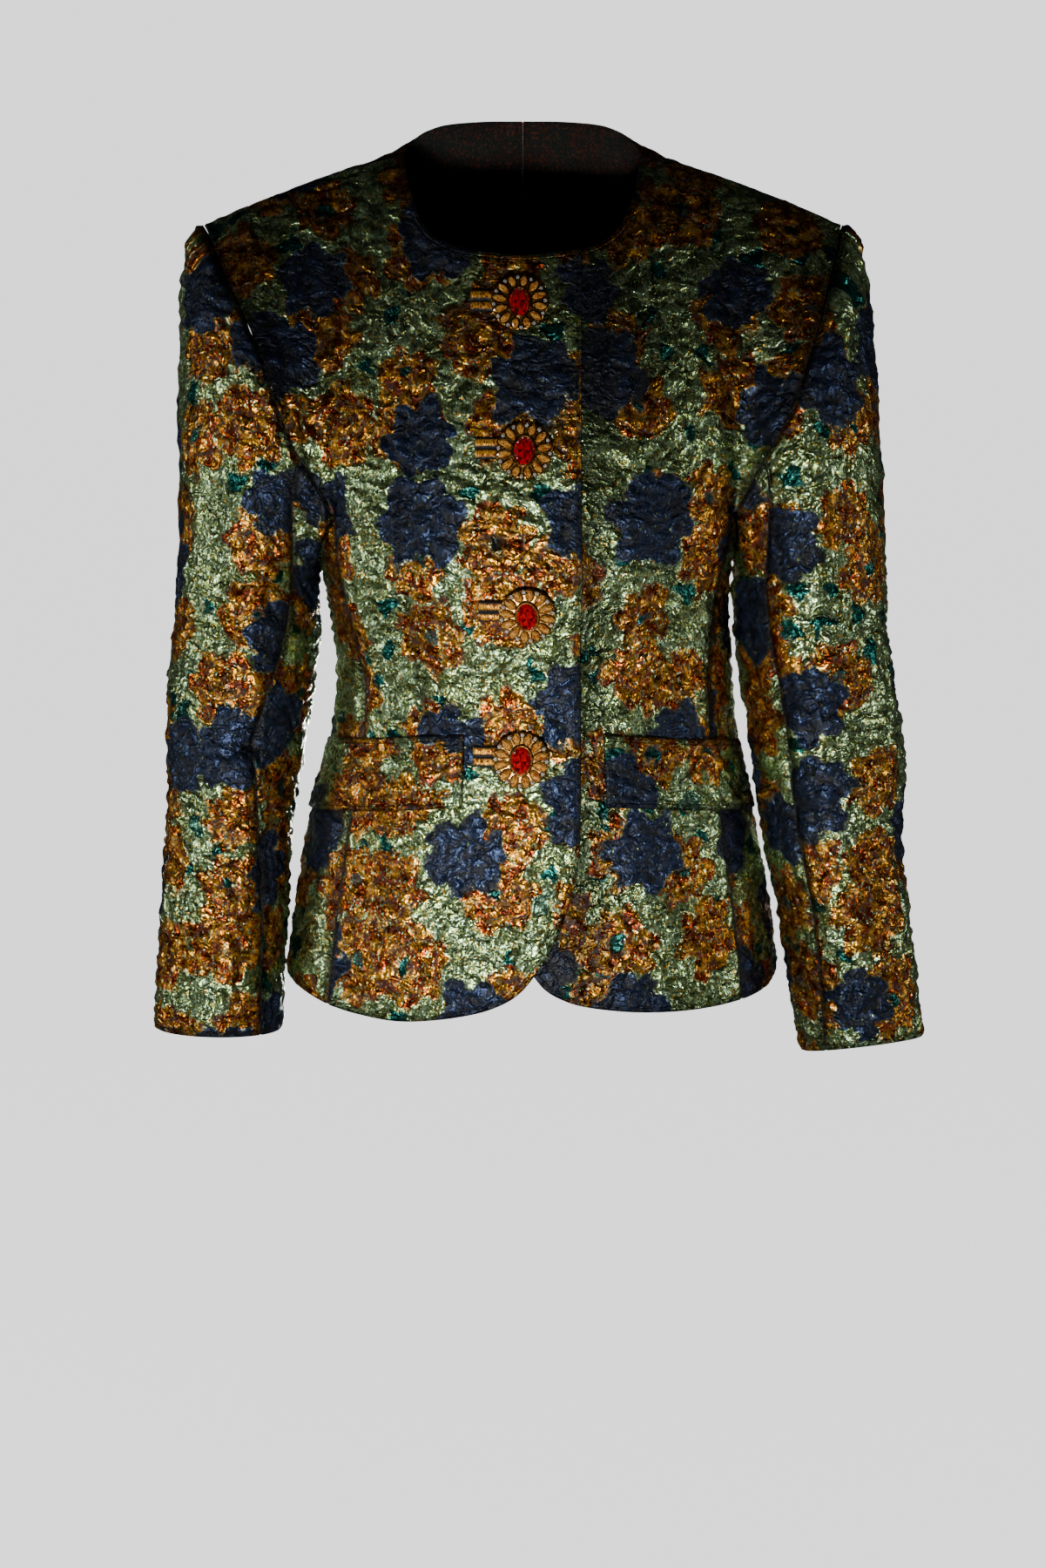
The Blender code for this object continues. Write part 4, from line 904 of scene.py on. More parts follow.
def make_cloth(name, cloth, node, panel, lift, seam, edge, relief):
    """Build the closed shell of a cut piece and give it its cloth coordinates."""
    base = cloth.points + cloth.normals() * lift["form"][:, None]
    normals = cloth.normals(base)
    out = cloth.outward(base, normals)
    free = (edge < seam)[:, None]
    base = base - out * np.where(free, 0.0, SEAM_SLIT / 2)
    outer = base + normals * lift["face"][:, None]
    middle = base + out * np.where(free, ROLL, SEAM_CLOSE) - normals * (WALL * 0.5)
    inner = base - normals * WALL
    used = cloth.used
    slot = np.full(len(base), -1)
    slot[used] = np.arange(len(used))
    a, b = cloth.border(cloth.quads)
    rim = np.unique(a)
    slot_rim = np.full(len(base), -1)
    slot_rim[rim] = len(used) + np.arange(len(rim))
    inside = np.unique(cloth.coarse)
    slot_in = np.full(len(base), -1)
    slot_in[inside] = len(used) + len(rim) + np.arange(len(inside))
    faces = slot[cloth.quads].tolist()
    picks = [0] * len(faces)
    back = slot_in[cloth.coarse[:, ::-1]].tolist()
    faces += back
    picks += [1] * len(back)
    follow = dict(zip(a.tolist(), b.tolist()))
    for first, last in zip(*(ends.tolist() for ends in cloth.border(cloth.coarse))):
        chain = [first]
        while chain[-1] != last:
            chain.append(follow[chain[-1]])
        for here, beyond in zip(chain, chain[1:]):
            faces.append([slot[beyond], slot[here], slot_rim[here], slot_rim[beyond]])
            picks.append(0)
        faces.append([slot_rim[k] for k in chain[::-1]] + [slot_in[first], slot_in[last]])
        picks.append(1)
    points = np.vstack([outer[used], middle[rim], inner[inside]])
    obj = link_mesh(name, points, faces, [MATERIAL["cloth"], MATERIAL["reverse"]], picks)
    shade(obj, True)
    ids = np.concatenate([used, rim, inside])
    flat = cloth.flat[ids] + np.array(panel, float)
    paint(obj, "cloth", np.column_stack([flat, np.zeros(len(flat))]))
    paint(obj, "seam", seam[ids])
    paint(obj, "edge", edge[ids])
    paint(obj, "relief", relief[ids])
    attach(obj, "root")
    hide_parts(node)
    return obj


def dress(name, cloth, node, panel, region, seams, relief_scale=1.0, lap=None, dull=None,
          out=0.0):
    """Work out the relief of a cut piece and build it."""
    points = cloth.points
    u, v = cloth.flat[:, 0] + panel[0], cloth.flat[:, 1] + panel[1]
    z = points[:, 2]
    border_ids = np.unique(np.concatenate(cloth.border(cloth.quads)))
    on_border = np.zeros(len(points), bool)
    on_border[border_ids] = True
    shared = np.zeros(len(points), bool)
    if cloth.beyond:
        shared[np.unique(np.concatenate([g.ravel() for g in cloth.beyond]))] = True
    near = away_from(points[border_ids], seams["armhole"]) < ARMHOLE_NEAR
    sewn = shared.copy()
    sewn[border_ids[near]] = True
    used = cloth.used
    seam = np.full(len(points), REACH)
    edge = np.full(len(points), REACH)
    seam[used] = away_from(points[used], cloth.border_lines(on_border & sewn))
    edge[used] = away_from(points[used], cloth.border_lines(on_border & ~sewn))
    dart = np.full(len(points), REACH)
    if seams["dart"]:
        dart[used] = away_from(points[used], seams["dart"])
    hole = np.full(len(points), REACH)
    if seams["armhole"]:
        hole[used] = away_from(points[used], seams["armhole"])
    relief = blisters(u, v, z, 1.0 if region == "body" else 0.0)
    top = np.clip((z + 205) / 90, 0, 1) if region == "body" else np.zeros(len(z))
    strength = relief_scale * (1 - 0.5 * top * top * (3 - 2 * top))
    strength = strength * (1 - np.exp(-(seam / 4.5) ** 2)) * (1 - 0.55 * np.exp(-(edge / 4.0) ** 2))
    strength = strength * (1 - np.exp(-(dart / 3.5) ** 2))
    if dull is not None:
        strength = strength * dull
    puff = 0.7 * (1 - np.exp(-np.minimum(seam, dart) / 9))
    groove = -0.75 * np.exp(-(seam / 1.7) ** 2) - 0.7 * np.exp(-(dart / 1.8) ** 2)
    pucker = noise(u / 7.5, v / 7.5, 8) * 0.6 * np.exp(-(np.minimum(seam, dart) / 9) ** 2)
    swell = noise(u / 34, v / 26, 9) * 0.7 + noise(u / 70, v / 90, 10) * 0.8
    swell = swell * (1 - np.exp(-(np.minimum(seam, edge) / 16) ** 2))
    ease = 0.7 * np.sin(noise(u / 20, v / 20, 12) * 9) * np.exp(-((hole - 9) / 9) ** 2)
    form = crease_lift(points, region) + swell * relief_scale + out
    if lap is not None:
        form = form - lap
        strength = strength * (1 - 0.8 * lap / lap.max())
    if region == "body":
        ease = ease * 0.5
    face = (relief - 0.45) * BLISTER * strength + puff * 0.6 - 0.3 + groove + pucker * 0.5 + ease
    face = face - 0.45 * np.exp(-(edge / 1.0) ** 2)
    return make_cloth(name, cloth, node, panel, {"form": form, "face": face},
                      np.minimum(seam, dart + 0.25), edge, relief * strength)


class Graph:
    """A node material that is written as a few short calls."""

    def __init__(self, name):
        self.material = bpy.data.materials.new(name)
        self.material.use_nodes = True
        self.tree = self.material.node_tree
        self.shader = self.tree.nodes["Principled BSDF"]

    def put(self, socket, value):
        if isinstance(value, bpy.types.NodeSocket):
            self.tree.links.new(value, socket)
        else:
            socket.default_value = value

    def node(self, kind, inputs=None, **settings):
        node = self.tree.nodes.new(kind)
        for key, value in settings.items():
            setattr(node, key, value)
        for key, value in (inputs or {}).items():
            self.put(node.inputs[key], value)
        return node

    def math(self, operation, a, b=0.0):
        return self.node("ShaderNodeMath", {0: a, 1: b}, operation=operation).outputs[0]

    def vector(self, operation, a, b=(0.0, 0.0, 0.0)):
        return self.node("ShaderNodeVectorMath", {0: a, 1: b}, operation=operation).outputs[0]

    def scale(self, a, factor):
        node = self.node("ShaderNodeVectorMath", {0: a, "Scale": factor}, operation="SCALE")
        return node.outputs[0]

    def step(self, value, low, high):
        """0 below low and 1 above high."""
        return self.node("ShaderNodeMapRange", {"Value": value, "From Min": low, "From Max": high},
                         interpolation_type="SMOOTHSTEP").outputs["Result"]

    def mix(self, share, a, b):
        return self.node("ShaderNodeMix", {0: share, 6: a, 7: b}, data_type="RGBA").outputs[2]

    def attribute(self, name, output="Fac"):
        return self.node("ShaderNodeAttribute", attribute_name=name).outputs[output]

    def split(self, vector):
        return self.node("ShaderNodeSeparateXYZ", {0: vector}).outputs

    def noise(self, vector, size, detail=2.0, output="Fac"):
        """Noise with features of about this size."""
        node = self.node("ShaderNodeTexNoise", {"Vector": vector, "Scale": 1.0 / size,
                                                "Detail": detail})
        return node.outputs[output]

    def cells(self, vector, size):
        return self.node("ShaderNodeTexVoronoi", {"Vector": vector, "Scale": 1.0 / size,
                                                  "Randomness": 1.0},
                         voronoi_dimensions="2D")

    def bump(self, height, distance, strength):
        return self.node("ShaderNodeBump", {"Height": height, "Distance": distance,
                                            "Strength": strength}).outputs[0]


def srgb(red, green, blue):
    """Screen colour, 0 to 1, as a shader colour."""
    return tuple(c / 12.92 if c < 0.04045 else ((c + 0.055) / 1.055) ** 2.4
                 for c in (red, green, blue)) + (1.0,)


# Bright colours of the metal threads and dark colours of the matt ones; the near black at the end is
# painted shade for seams, grooves, valleys, creases and the buttonhole slits
MINT = srgb(0.76, 0.90, 0.70)
LEAF_GOLD = srgb(0.56, 0.64, 0.36)
AMBER = srgb(0.95, 0.68, 0.20)
ORANGE = srgb(0.56, 0.22, 0.06)
TEAL = srgb(0.12, 0.40, 0.36)
STEEL = srgb(0.20, 0.25, 0.36)
MOSS = srgb(0.15, 0.185, 0.08)
RUST = srgb(0.27, 0.12, 0.05)
NAVY = srgb(0.02, 0.022, 0.042)
PINE = srgb(0.04, 0.10, 0.07)
UMBER = srgb(0.10, 0.062, 0.036)
PAINTED_SHADE_BLACK = srgb(0.02, 0.02, 0.018)

# Motifs: mean spacing, radius, lobes and shift of the pattern, in millimetres
ROSES = (98.0, 30.0, 6, (13.0, 4.0))
GOLD_FLOWERS = (60.0, 27.0, 7, (51.0, 37.0))
LEAVES = (27.0, 7.0, 3, (7.0, 22.0))


def flower(graph, cloth, spacing, radius, lobes, shift):
    """A field of lobed flowers: inside mask, share of the radius, petal lines and a random colour."""
    place = graph.scale(graph.vector("ADD", cloth, (*shift, 0.0)), 1.0 / spacing)
    cell = graph.node("ShaderNodeTexVoronoi", {"Vector": place, "Scale": 1.0, "Randomness": 0.7},
                      voronoi_dimensions="2D")
    away = graph.split(graph.vector("SUBTRACT", place, cell.outputs["Position"]))
    length = graph.math("SQRT", graph.math("ADD", graph.math("MULTIPLY", away[0], away[0]),
                                           graph.math("MULTIPLY", away[1], away[1])))
    length = graph.math("MULTIPLY", length, spacing)
    angle = graph.math("ARCTAN2", away[1], away[0])
    chance = graph.node("ShaderNodeSeparateColor", {0: cell.outputs["Color"]}).outputs
    turn = graph.math("MULTIPLY", chance[0], 6.28)
    wave = graph.math("ADD", graph.math("MULTIPLY", angle, lobes / 2), turn)
    wave = graph.math("ABSOLUTE", graph.math("COSINE", wave))
    reach = graph.math("ADD", graph.math("MULTIPLY", wave, 0.26 * radius),
                       graph.math("MULTIPLY", graph.math("ADD", chance[1], 1.9), 0.31 * radius))
    share = graph.math("DIVIDE", length, reach)
    inside = graph.math("SUBTRACT", 1.0, graph.step(share, 0.94, 1.04))
    curl = graph.math("ADD", graph.math("MULTIPLY", share, 15.0),
                      graph.math("MULTIPLY", wave, 1.6))
    petals = graph.math("SINE", graph.math("ADD", curl, turn))
    return inside, share, petals, chance


def thread_grains(graph, cloth):
    """Single threads of the weave: random colours of cells about one thread wide."""
    stretched = graph.vector("MULTIPLY", cloth, (1.0, 0.72, 1.0))
    grain = graph.cells(stretched, GRAIN)
    return (graph.node("ShaderNodeSeparateColor", {0: grain.outputs["Color"]}).outputs,
            grain.outputs["Color"], grain.outputs["Distance"])


def grain_normal(graph, colour, strength, base):
    """Tilt the normal of each grain its own way, so that single threads catch the light."""
    tilt = graph.scale(graph.vector("SUBTRACT", colour, (0.5, 0.5, 0.5)), strength)
    return graph.vector("NORMALIZE", graph.vector("ADD", base, tilt))


def jacquard_material():
    """The figured cloth: flowers, roses and leaves of metal threads over a dark matt ground."""
    graph = Graph("jacquard")
    place = graph.attribute("cloth", "Vector")
    seam = graph.attribute("seam")
    edge = graph.attribute("edge")
    relief = graph.attribute("relief")
    bend = graph.noise(place, 17.0, 1.0, "Color")
    bent = graph.vector("ADD", place, graph.scale(graph.vector("SUBTRACT", bend, (0.5, 0.5, 0.5)),
                                                  22.0))
    fray = graph.noise(place, 3.4, 1.5, "Color")
    bent = graph.vector("ADD", bent, graph.scale(graph.vector("SUBTRACT", fray, (0.5, 0.5, 0.5)),
                                                 6.0))
    chance, grain_colour, grain_away = thread_grains(graph, place)
    rose, _, rose_lines, _ = flower(graph, bent, *ROSES)
    gold, gold_share, gold_lines, gold_chance = flower(graph, bent, *GOLD_FLOWERS)
    leaf, _, _, leaf_chance = flower(graph, bent, *LEAVES)
    gold = graph.math("MULTIPLY", gold, graph.math("SUBTRACT", 1.0, rose))
    leaf = graph.math("MULTIPLY", leaf, graph.step(leaf_chance[2], 0.48, 0.56))
    drift = graph.noise(place, 24.0, 2.0)
    patch = graph.noise(place, 9.0, 2.0)

    matte = graph.mix(graph.step(drift, 0.46, 0.64), MOSS, UMBER)
    matte = graph.mix(leaf, matte, PINE)
    matte = graph.mix(gold, matte, graph.mix(graph.step(gold_lines, -0.5, 0.3), UMBER, RUST))
    matte = graph.mix(rose, matte, NAVY)

    bright = graph.mix(graph.step(graph.math("ADD", chance[1], drift), 0.86, 1.0), MINT, LEAF_GOLD)
    bright = graph.mix(graph.step(chance[1], 0.95, 0.96), bright, AMBER)
    bright = graph.mix(leaf, bright, TEAL)
    speck = graph.math("ADD", graph.math("MULTIPLY", chance[1], 0.25), patch)
    gold_bright = graph.mix(graph.step(speck, 0.50, 0.70), AMBER, ORANGE)
    gold_bright = graph.mix(graph.step(chance[1], 0.91, 0.93), gold_bright, MINT)
    gold_core = graph.math("SUBTRACT", 1.0, graph.step(gold_share, 0.14, 0.24))
    gold_core = graph.math("MULTIPLY", gold_core, graph.step(gold_chance[2], 0.5, 0.6))
    gold_bright = graph.mix(gold_core, gold_bright, TEAL)
    bright = graph.mix(gold, bright, gold_bright)
    rose_bright = graph.mix(graph.step(chance[1], 0.985, 0.99), STEEL, LEAF_GOLD)
    bright = graph.mix(rose, bright, rose_bright)

    crinkle_place = graph.vector("MULTIPLY", bent, (0.62, 1.0, 1.0))
    crinkle = graph.math("ABSOLUTE", graph.math("SUBTRACT", graph.noise(crinkle_place, 9.0, 1.0),
                                                0.5))
    crest = graph.step(crinkle, 0.0, 0.10)
    share = graph.math("ADD", GROUND_SHINE, graph.math("MULTIPLY", crest, 0.26))
    share = graph.math("ADD", share, graph.math("MULTIPLY", relief, 0.10))
    fold = graph.math("MULTIPLY", graph.step(rose_lines, 0.0, 0.9), 0.24)
    share = graph.math("SUBTRACT", share, graph.math("MULTIPLY", rose, graph.math("ADD", fold, 0.22)))
    petal = graph.math("MULTIPLY", graph.step(gold_lines, 0.35, 0.95), gold)
    share = graph.math("SUBTRACT", share, graph.math("MULTIPLY", petal, 0.40))
    share = graph.math("SUBTRACT", share, graph.math("MULTIPLY", chance[2], 0.22))
    shine = graph.step(share, 0.0, 1.0)
    # Painted shade: along the sewn seams the metal shine is taken off and the colour is mixed towards
    # near black, the shade in the seam groove
    sewn = graph.math("SUBTRACT", 1.0, graph.step(seam, 0.25, 1.0))
    shine = graph.math("MULTIPLY", shine, graph.math("SUBTRACT", 1.0, sewn))
    # A groove in the bump a little in from the free edges; its darkening below is painted shade in
    # that groove
    edge_groove = graph.step(edge, 2.1, 2.7)
    edge_groove = graph.math("MULTIPLY", edge_groove, graph.math("SUBTRACT", 1.0, graph.step(edge, 3.1, 3.8)))
    # Painted shade in the low valleys between the puffs of the relief
    valley_shade = graph.math("SUBTRACT", 1.0, graph.step(relief, 0.08, 0.66))
    # Painted shade in the tight crinkle lines between the small puffs
    tight = graph.math("SUBTRACT", 1.0, graph.step(crinkle, 0.0, 0.06))
    # All the painted shade together: seams, valleys between puffs, crinkle lines and edge grooves,
    # mixed towards near black
    dark = graph.math("MAXIMUM", sewn, graph.math("MULTIPLY", valley_shade, 0.94))
    dark = graph.math("MAXIMUM", dark, graph.math("MULTIPLY", tight, 0.75))
    dark = graph.math("MAXIMUM", dark, graph.math("MULTIPLY", edge_groove, 0.7))
    colour = graph.mix(shine, matte, bright)
    colour = graph.mix(graph.math("MULTIPLY", dark, 0.85), colour, PAINTED_SHADE_BLACK)
    graph.put(graph.shader.inputs["Base Color"], colour)
    graph.put(graph.shader.inputs["Metallic"], graph.step(shine, 0.0, 0.95))
    rough = graph.math("ADD", 0.56, graph.math("MULTIPLY", shine, -0.33))
    graph.put(graph.shader.inputs["Roughness"],
              graph.math("ADD", rough, graph.math("MULTIPLY", chance[0], 0.10)))
    graph.shader.inputs["Specular IOR Level"].default_value = 0.25
    threads = graph.node("ShaderNodeTexWave", {"Vector": place, "Scale": 0.55, "Distortion": 1.6,
                                               "Detail": 1.0, "Detail Scale": 1.2},
                         bands_direction="Y").outputs["Fac"]
    height = graph.math("ADD", graph.math("MULTIPLY", threads, 0.03),
                        graph.math("MULTIPLY", grain_away, -0.07))
    height = graph.math("ADD", height, graph.math("MULTIPLY", crinkle, 6.5))
    height = graph.math("SUBTRACT", height, graph.math("MULTIPLY", edge_groove, 0.8))
    bumped = graph.bump(height, 0.0006, 1.0)
    spark = graph.math("MULTIPLY", graph.step(chance[2], 0.95, 0.96), 0.9)
    graph.put(graph.shader.inputs["Normal"],
              grain_normal(graph, grain_colour, graph.math("ADD", SPARKLE, spark), bumped))
    return graph.material


def reverse_material():
    """The inner side of the cloth: dark floats of thread with a little of the colours."""
    graph = Graph("jacquard_reverse")
    place = graph.attribute("cloth", "Vector")
    chance, _, _ = thread_grains(graph, place)
    floats = graph.node("ShaderNodeTexWave", {"Vector": place, "Scale": 0.4, "Distortion": 3.0,
                                              "Detail": 2.0}, bands_direction="X").outputs["Fac"]
    drift = graph.noise(place, 21.0, 2.0)
    colour = graph.mix(graph.step(drift, 0.40, 0.62), UMBER, PINE)
    colour = graph.mix(graph.math("MULTIPLY", graph.step(chance[1], 0.78, 0.84), 0.3), colour, ORANGE)
    graph.put(graph.shader.inputs["Base Color"], colour)
    graph.put(graph.shader.inputs["Roughness"],
              graph.math("ADD", 0.62, graph.math("MULTIPLY", chance[0], 0.2)))
    graph.put(graph.shader.inputs["Normal"], graph.bump(floats, 0.0004, 0.8))
    return graph.material


def lip_material():
    """The bound buttonholes: the same cloth cut across, so its gold threads lie in ribs; gold and
    shine are put on the crest of each lip as a painted highlight, with painted shade, near black, in
    the slit and at the outer edges.
    """
    graph = Graph("buttonhole_cloth")
    place = graph.attribute("cloth", "Vector")
    chance, grain_colour, grain_away = thread_grains(graph, place)
    ribs = graph.node("ShaderNodeTexWave", {"Vector": place, "Scale": 0.21, "Distortion": 0.9,
                                            "Detail": 1.0}, bands_direction="X").outputs["Fac"]
    away = graph.math("ABSOLUTE", graph.split(place)[1])
    # Painted highlight along the crest of each lip; painted shade away from it, in the slit and at the
    # outer edges
    crest = graph.math("ABSOLUTE", graph.math("SUBTRACT", away, LIP_MIDDLE))
    crest = graph.math("SUBTRACT", 1.0, graph.step(crest, 1.0, 2.6))
    bright = graph.mix(graph.step(chance[1], 0.5, 0.9), AMBER, ORANGE)
    shine = graph.math("ADD", 0.55, graph.math("MULTIPLY", ribs, 0.45))
    shine = graph.math("MULTIPLY", crest, shine)
    graph.put(graph.shader.inputs["Base Color"], graph.mix(shine, PAINTED_SHADE_BLACK, bright))
    graph.put(graph.shader.inputs["Metallic"], graph.math("MULTIPLY", shine, 0.85))
    graph.put(graph.shader.inputs["Roughness"],
              graph.math("ADD", 0.6, graph.math("MULTIPLY", shine, -0.25)))
    height = graph.math("ADD", ribs, graph.math("MULTIPLY", grain_away, -0.5))
    bumped = graph.bump(height, 0.0002, 1.0)
    graph.put(graph.shader.inputs["Normal"], grain_normal(graph, grain_colour, 0.25, bumped))
    return graph.material


def gold_material():
    """Antique gold of the settings, dark in its hollows."""
    graph = Graph("antique_gold")
    place = graph.scale(graph.node("ShaderNodeTexCoord").outputs["Object"], 1000.0)
    wear = graph.noise(place, 1.7, 3.0)
    hollow = graph.node("ShaderNodeNewGeometry").outputs["Pointiness"]
    colour = graph.mix(graph.step(wear, 0.35, 0.65), srgb(0.80, 0.60, 0.30), srgb(0.62, 0.42, 0.18))
    colour = graph.mix(graph.step(hollow, 0.40, 0.52), srgb(0.16, 0.10, 0.05), colour)
    graph.put(graph.shader.inputs["Base Color"], colour)
    graph.shader.inputs["Metallic"].default_value = 1.0
    graph.put(graph.shader.inputs["Roughness"],
              graph.math("ADD", 0.20, graph.math("MULTIPLY", wear, 0.22)))
    graph.put(graph.shader.inputs["Normal"], graph.bump(wear, 0.0002, 0.6))
    return graph.material


def stone_material(name, deep, light, clear):
    """A foiled glass stone: each facet gets a random share between a deep and a light colour, painted
    facet glints and shade, under a clear surface.
    """
    graph = Graph(name)
    facet = graph.attribute("facet")
    place = graph.scale(graph.node("ShaderNodeTexCoord").outputs["Object"], 1000.0)
    cloud = graph.noise(place, 2.4, 2.0)
    share = graph.math("ADD", graph.math("MULTIPLY", facet, 0.8), graph.math("MULTIPLY", cloud, 0.3))
    graph.put(graph.shader.inputs["Base Color"], graph.mix(graph.step(share, 0.15, 0.95), deep, light))
    graph.put(graph.shader.inputs["Metallic"], graph.math("MULTIPLY", facet, clear))
    graph.shader.inputs["Roughness"].default_value = 0.06
    graph.shader.inputs["IOR"].default_value = 1.6
    graph.shader.inputs["Coat Weight"].default_value = 1.0
    graph.shader.inputs["Coat Roughness"].default_value = 0.03
    return graph.material


def closed_patch(name, outer, inner, flat, material, node):
    """A small cloth piece between an outer and an inner grid."""
    rows, columns = outer.shape[:2]
    index = np.arange(rows * columns).reshape(rows, columns)
    quads = np.stack([index[:-1, :-1], index[:-1, 1:], index[1:, 1:], index[1:, :-1]],
                     axis=-1).reshape(-1, 4)
    shift = rows * columns
    loop = np.concatenate([index[0, :-1], index[:-1, -1], index[-1, :0:-1], index[:0:-1, 0]])
    beyond = np.roll(loop, -1)
    rim = np.stack([beyond, loop, loop + shift, beyond + shift], axis=-1)
    faces = np.vstack([quads, quads[:, ::-1] + shift, rim])
    points = np.vstack([outer.reshape(-1, 3), inner.reshape(-1, 3)])
    obj = shade(link_mesh(name, points, faces, [material]), True)
    flat = np.vstack([flat.reshape(-1, 2)] * 2)
    paint(obj, "cloth", np.column_stack([flat, np.zeros(len(flat))]))
    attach(obj, "root")
    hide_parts(node)
    return obj


def build_buttonholes():
    for number, (x, z, _) in enumerate(BUTTONS, 1):
        across = np.linspace(x - HOLE_LEFT, x + HOLE_RIGHT, LIP_STEPS)
        up = np.linspace(-LIP_HALF, LIP_HALF, LIP_ACROSS)
        normal = front_normal(x, z)
        place = np.array([[front_point(px, z + HOLE_RISE + dz) for dz in up] for px in across])
        roll = np.clip(1 - ((np.abs(up) - LIP_MIDDLE) / LIP_MIDDLE) ** 2, 0, 1) ** 0.5
        end = np.minimum(across - across[0], across[-1] - across)
        ends = np.clip(end / 1.6, 0, 1) ** 0.5
        ribs = 0.10 * np.sin(across * 2 * math.pi / RIB)
        height = 0.25 + (LIP_RISE + ribs[:, None]) * roll[None, :] * (0.35 + 0.65 * ends[:, None])
        wander = 0.25 * noise(across / 9, np.full(LIP_STEPS, number * 3.7), 3)
        outer = place + normal * (OVER_GAP + height)[..., None]
        outer[..., 2] += wander[:, None]
        inner = place + normal * OVER_GAP
        flat = np.stack(np.meshgrid(across + 50 * number, up, indexing="ij"), axis=-1)
        closed_patch("buttonhole_lips_%d" % number, outer, inner, flat,
                     MATERIAL["lips"], "buttonhole_%d" % number)


class Jewel:
    """Gathers the points and faces of one button's pieces in its own frame."""

    def __init__(self, back, right, up, normal):
        self.back, self.axes = back, np.stack([right, up, normal])
        self.points, self.faces, self.flat = [], [], []

    def add(self, points, faces):
        start = len(self.points)
        self.points.extend(np.asarray(points, float).tolist())
        self.faces.extend([[k + start for k in face] for face in faces])

    def build(self, name, material, node, smooth, facets=False):
        points = self.back + np.array(self.points) @ self.axes
        obj = shade(link_mesh(name, points, self.faces, [material]), smooth)
        if facets:
            # A random value per face, which the stones use for painted facet glints and shade
            values = np.random.default_rng(len(self.faces)).random(len(self.faces))
            layer = obj.data.attributes.new("facet", "FLOAT", "FACE")
            layer.data.foreach_set("value", values.astype(np.float32))
        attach(obj, "root")
        if node:
            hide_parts(node)
        return obj


def tube_points(path, radius, sides=8):
    """A round wire along a closed path of the button's plane."""
    path = np.asarray(path, float)
    count = len(path)
    along = np.roll(path, -1, axis=0) - np.roll(path, 1, axis=0)
    along /= np.linalg.norm(along, axis=1)[:, None]
    outward = np.cross(along, [0, 0, 1.0])
    turns = np.arange(sides) * 2 * math.pi / sides
    points = (path[:, None] + radius * (np.cos(turns)[None, :, None] * outward[:, None]
                                        + np.sin(turns)[None, :, None] * np.array([0, 0, 1.0])))
    faces = []
    for i in range(count):
        for j in range(sides):
            a, b = i * sides + j, i * sides + (j + 1) % sides
            c, d = (i + 1) % count * sides + (j + 1) % sides, (i + 1) % count * sides + j
            faces.append([a, b, c, d])
    return points.reshape(-1, 3), faces


def outline(centre, turn, half, height, sides, pointed=0.0, grow=0.0):
    """An oval or pointed outline, turned and placed in the button's plane."""
    angles = np.arange(sides) * 2 * math.pi / sides
    x = (half[0] + grow) * np.cos(angles)
    y = (half[1] + grow) * np.sin(angles) * np.abs(np.sin(angles)) ** pointed
    c, s = math.cos(turn), math.sin(turn)
    return np.stack([centre[0] + c * x - s * y, centre[1] + s * x + c * y,
                     np.full(sides, height)], axis=-1)


def cut_stone(centre, turn, half, height, sides, pointed=0.0):
    """A cut stone: girdle, crown facets and table over a closed flat back."""
    low, rise = height
    full = outline(centre, turn, half, 0.0, 2 * sides, pointed)
    middle = np.array([centre[0], centre[1], 0.0])

    def ring(scale, level, step, offset):
        return middle + (full[offset::step] - middle) * scale + [0, 0, level]

    rings = [ring(0.90, low - 0.6, 1, 0), ring(1.0, low, 1, 0), ring(0.80, low + 0.68 * rise, 2, 1),
             ring(0.56, low + rise, 2, 0)]
    points = np.vstack(rings + [middle + [0, 0, low + rise + 0.05 * rise]])
    foot, girdle, crown, table = 0, 2 * sides, 4 * sides, 5 * sides
    top = 6 * sides
    faces = [list(range(foot, girdle))[::-1]]
    for k in range(2 * sides):
        beyond = (k + 1) % (2 * sides)
        faces.append([foot + k, foot + beyond, girdle + beyond, girdle + k])
    for k in range(sides):
        beyond = (k + 1) % sides
        low_left, peak = girdle + 2 * k, girdle + 2 * k + 1
        low_right = girdle + (2 * k + 2) % (2 * sides)
        faces += [[low_left, peak, crown + k], [peak, low_right, crown + k],
                  [low_right, crown + beyond, crown + k],
                  [crown + k, crown + beyond, table + beyond],
                  [crown + k, table + beyond, table + k], [table + k, table + beyond, top]]
    return points, faces


def petal_places():
    """Direction, inner end and outer end of each pointed stone round the oval."""
    for k in range(PETALS):
        turn = 2 * math.pi * (k + 0.5) / PETALS
        a, b = STONE_HALF
        inner = a * b / math.hypot(b * math.cos(turn), a * math.sin(turn)) + 1.5
        yield turn, inner, NAVETTE_END


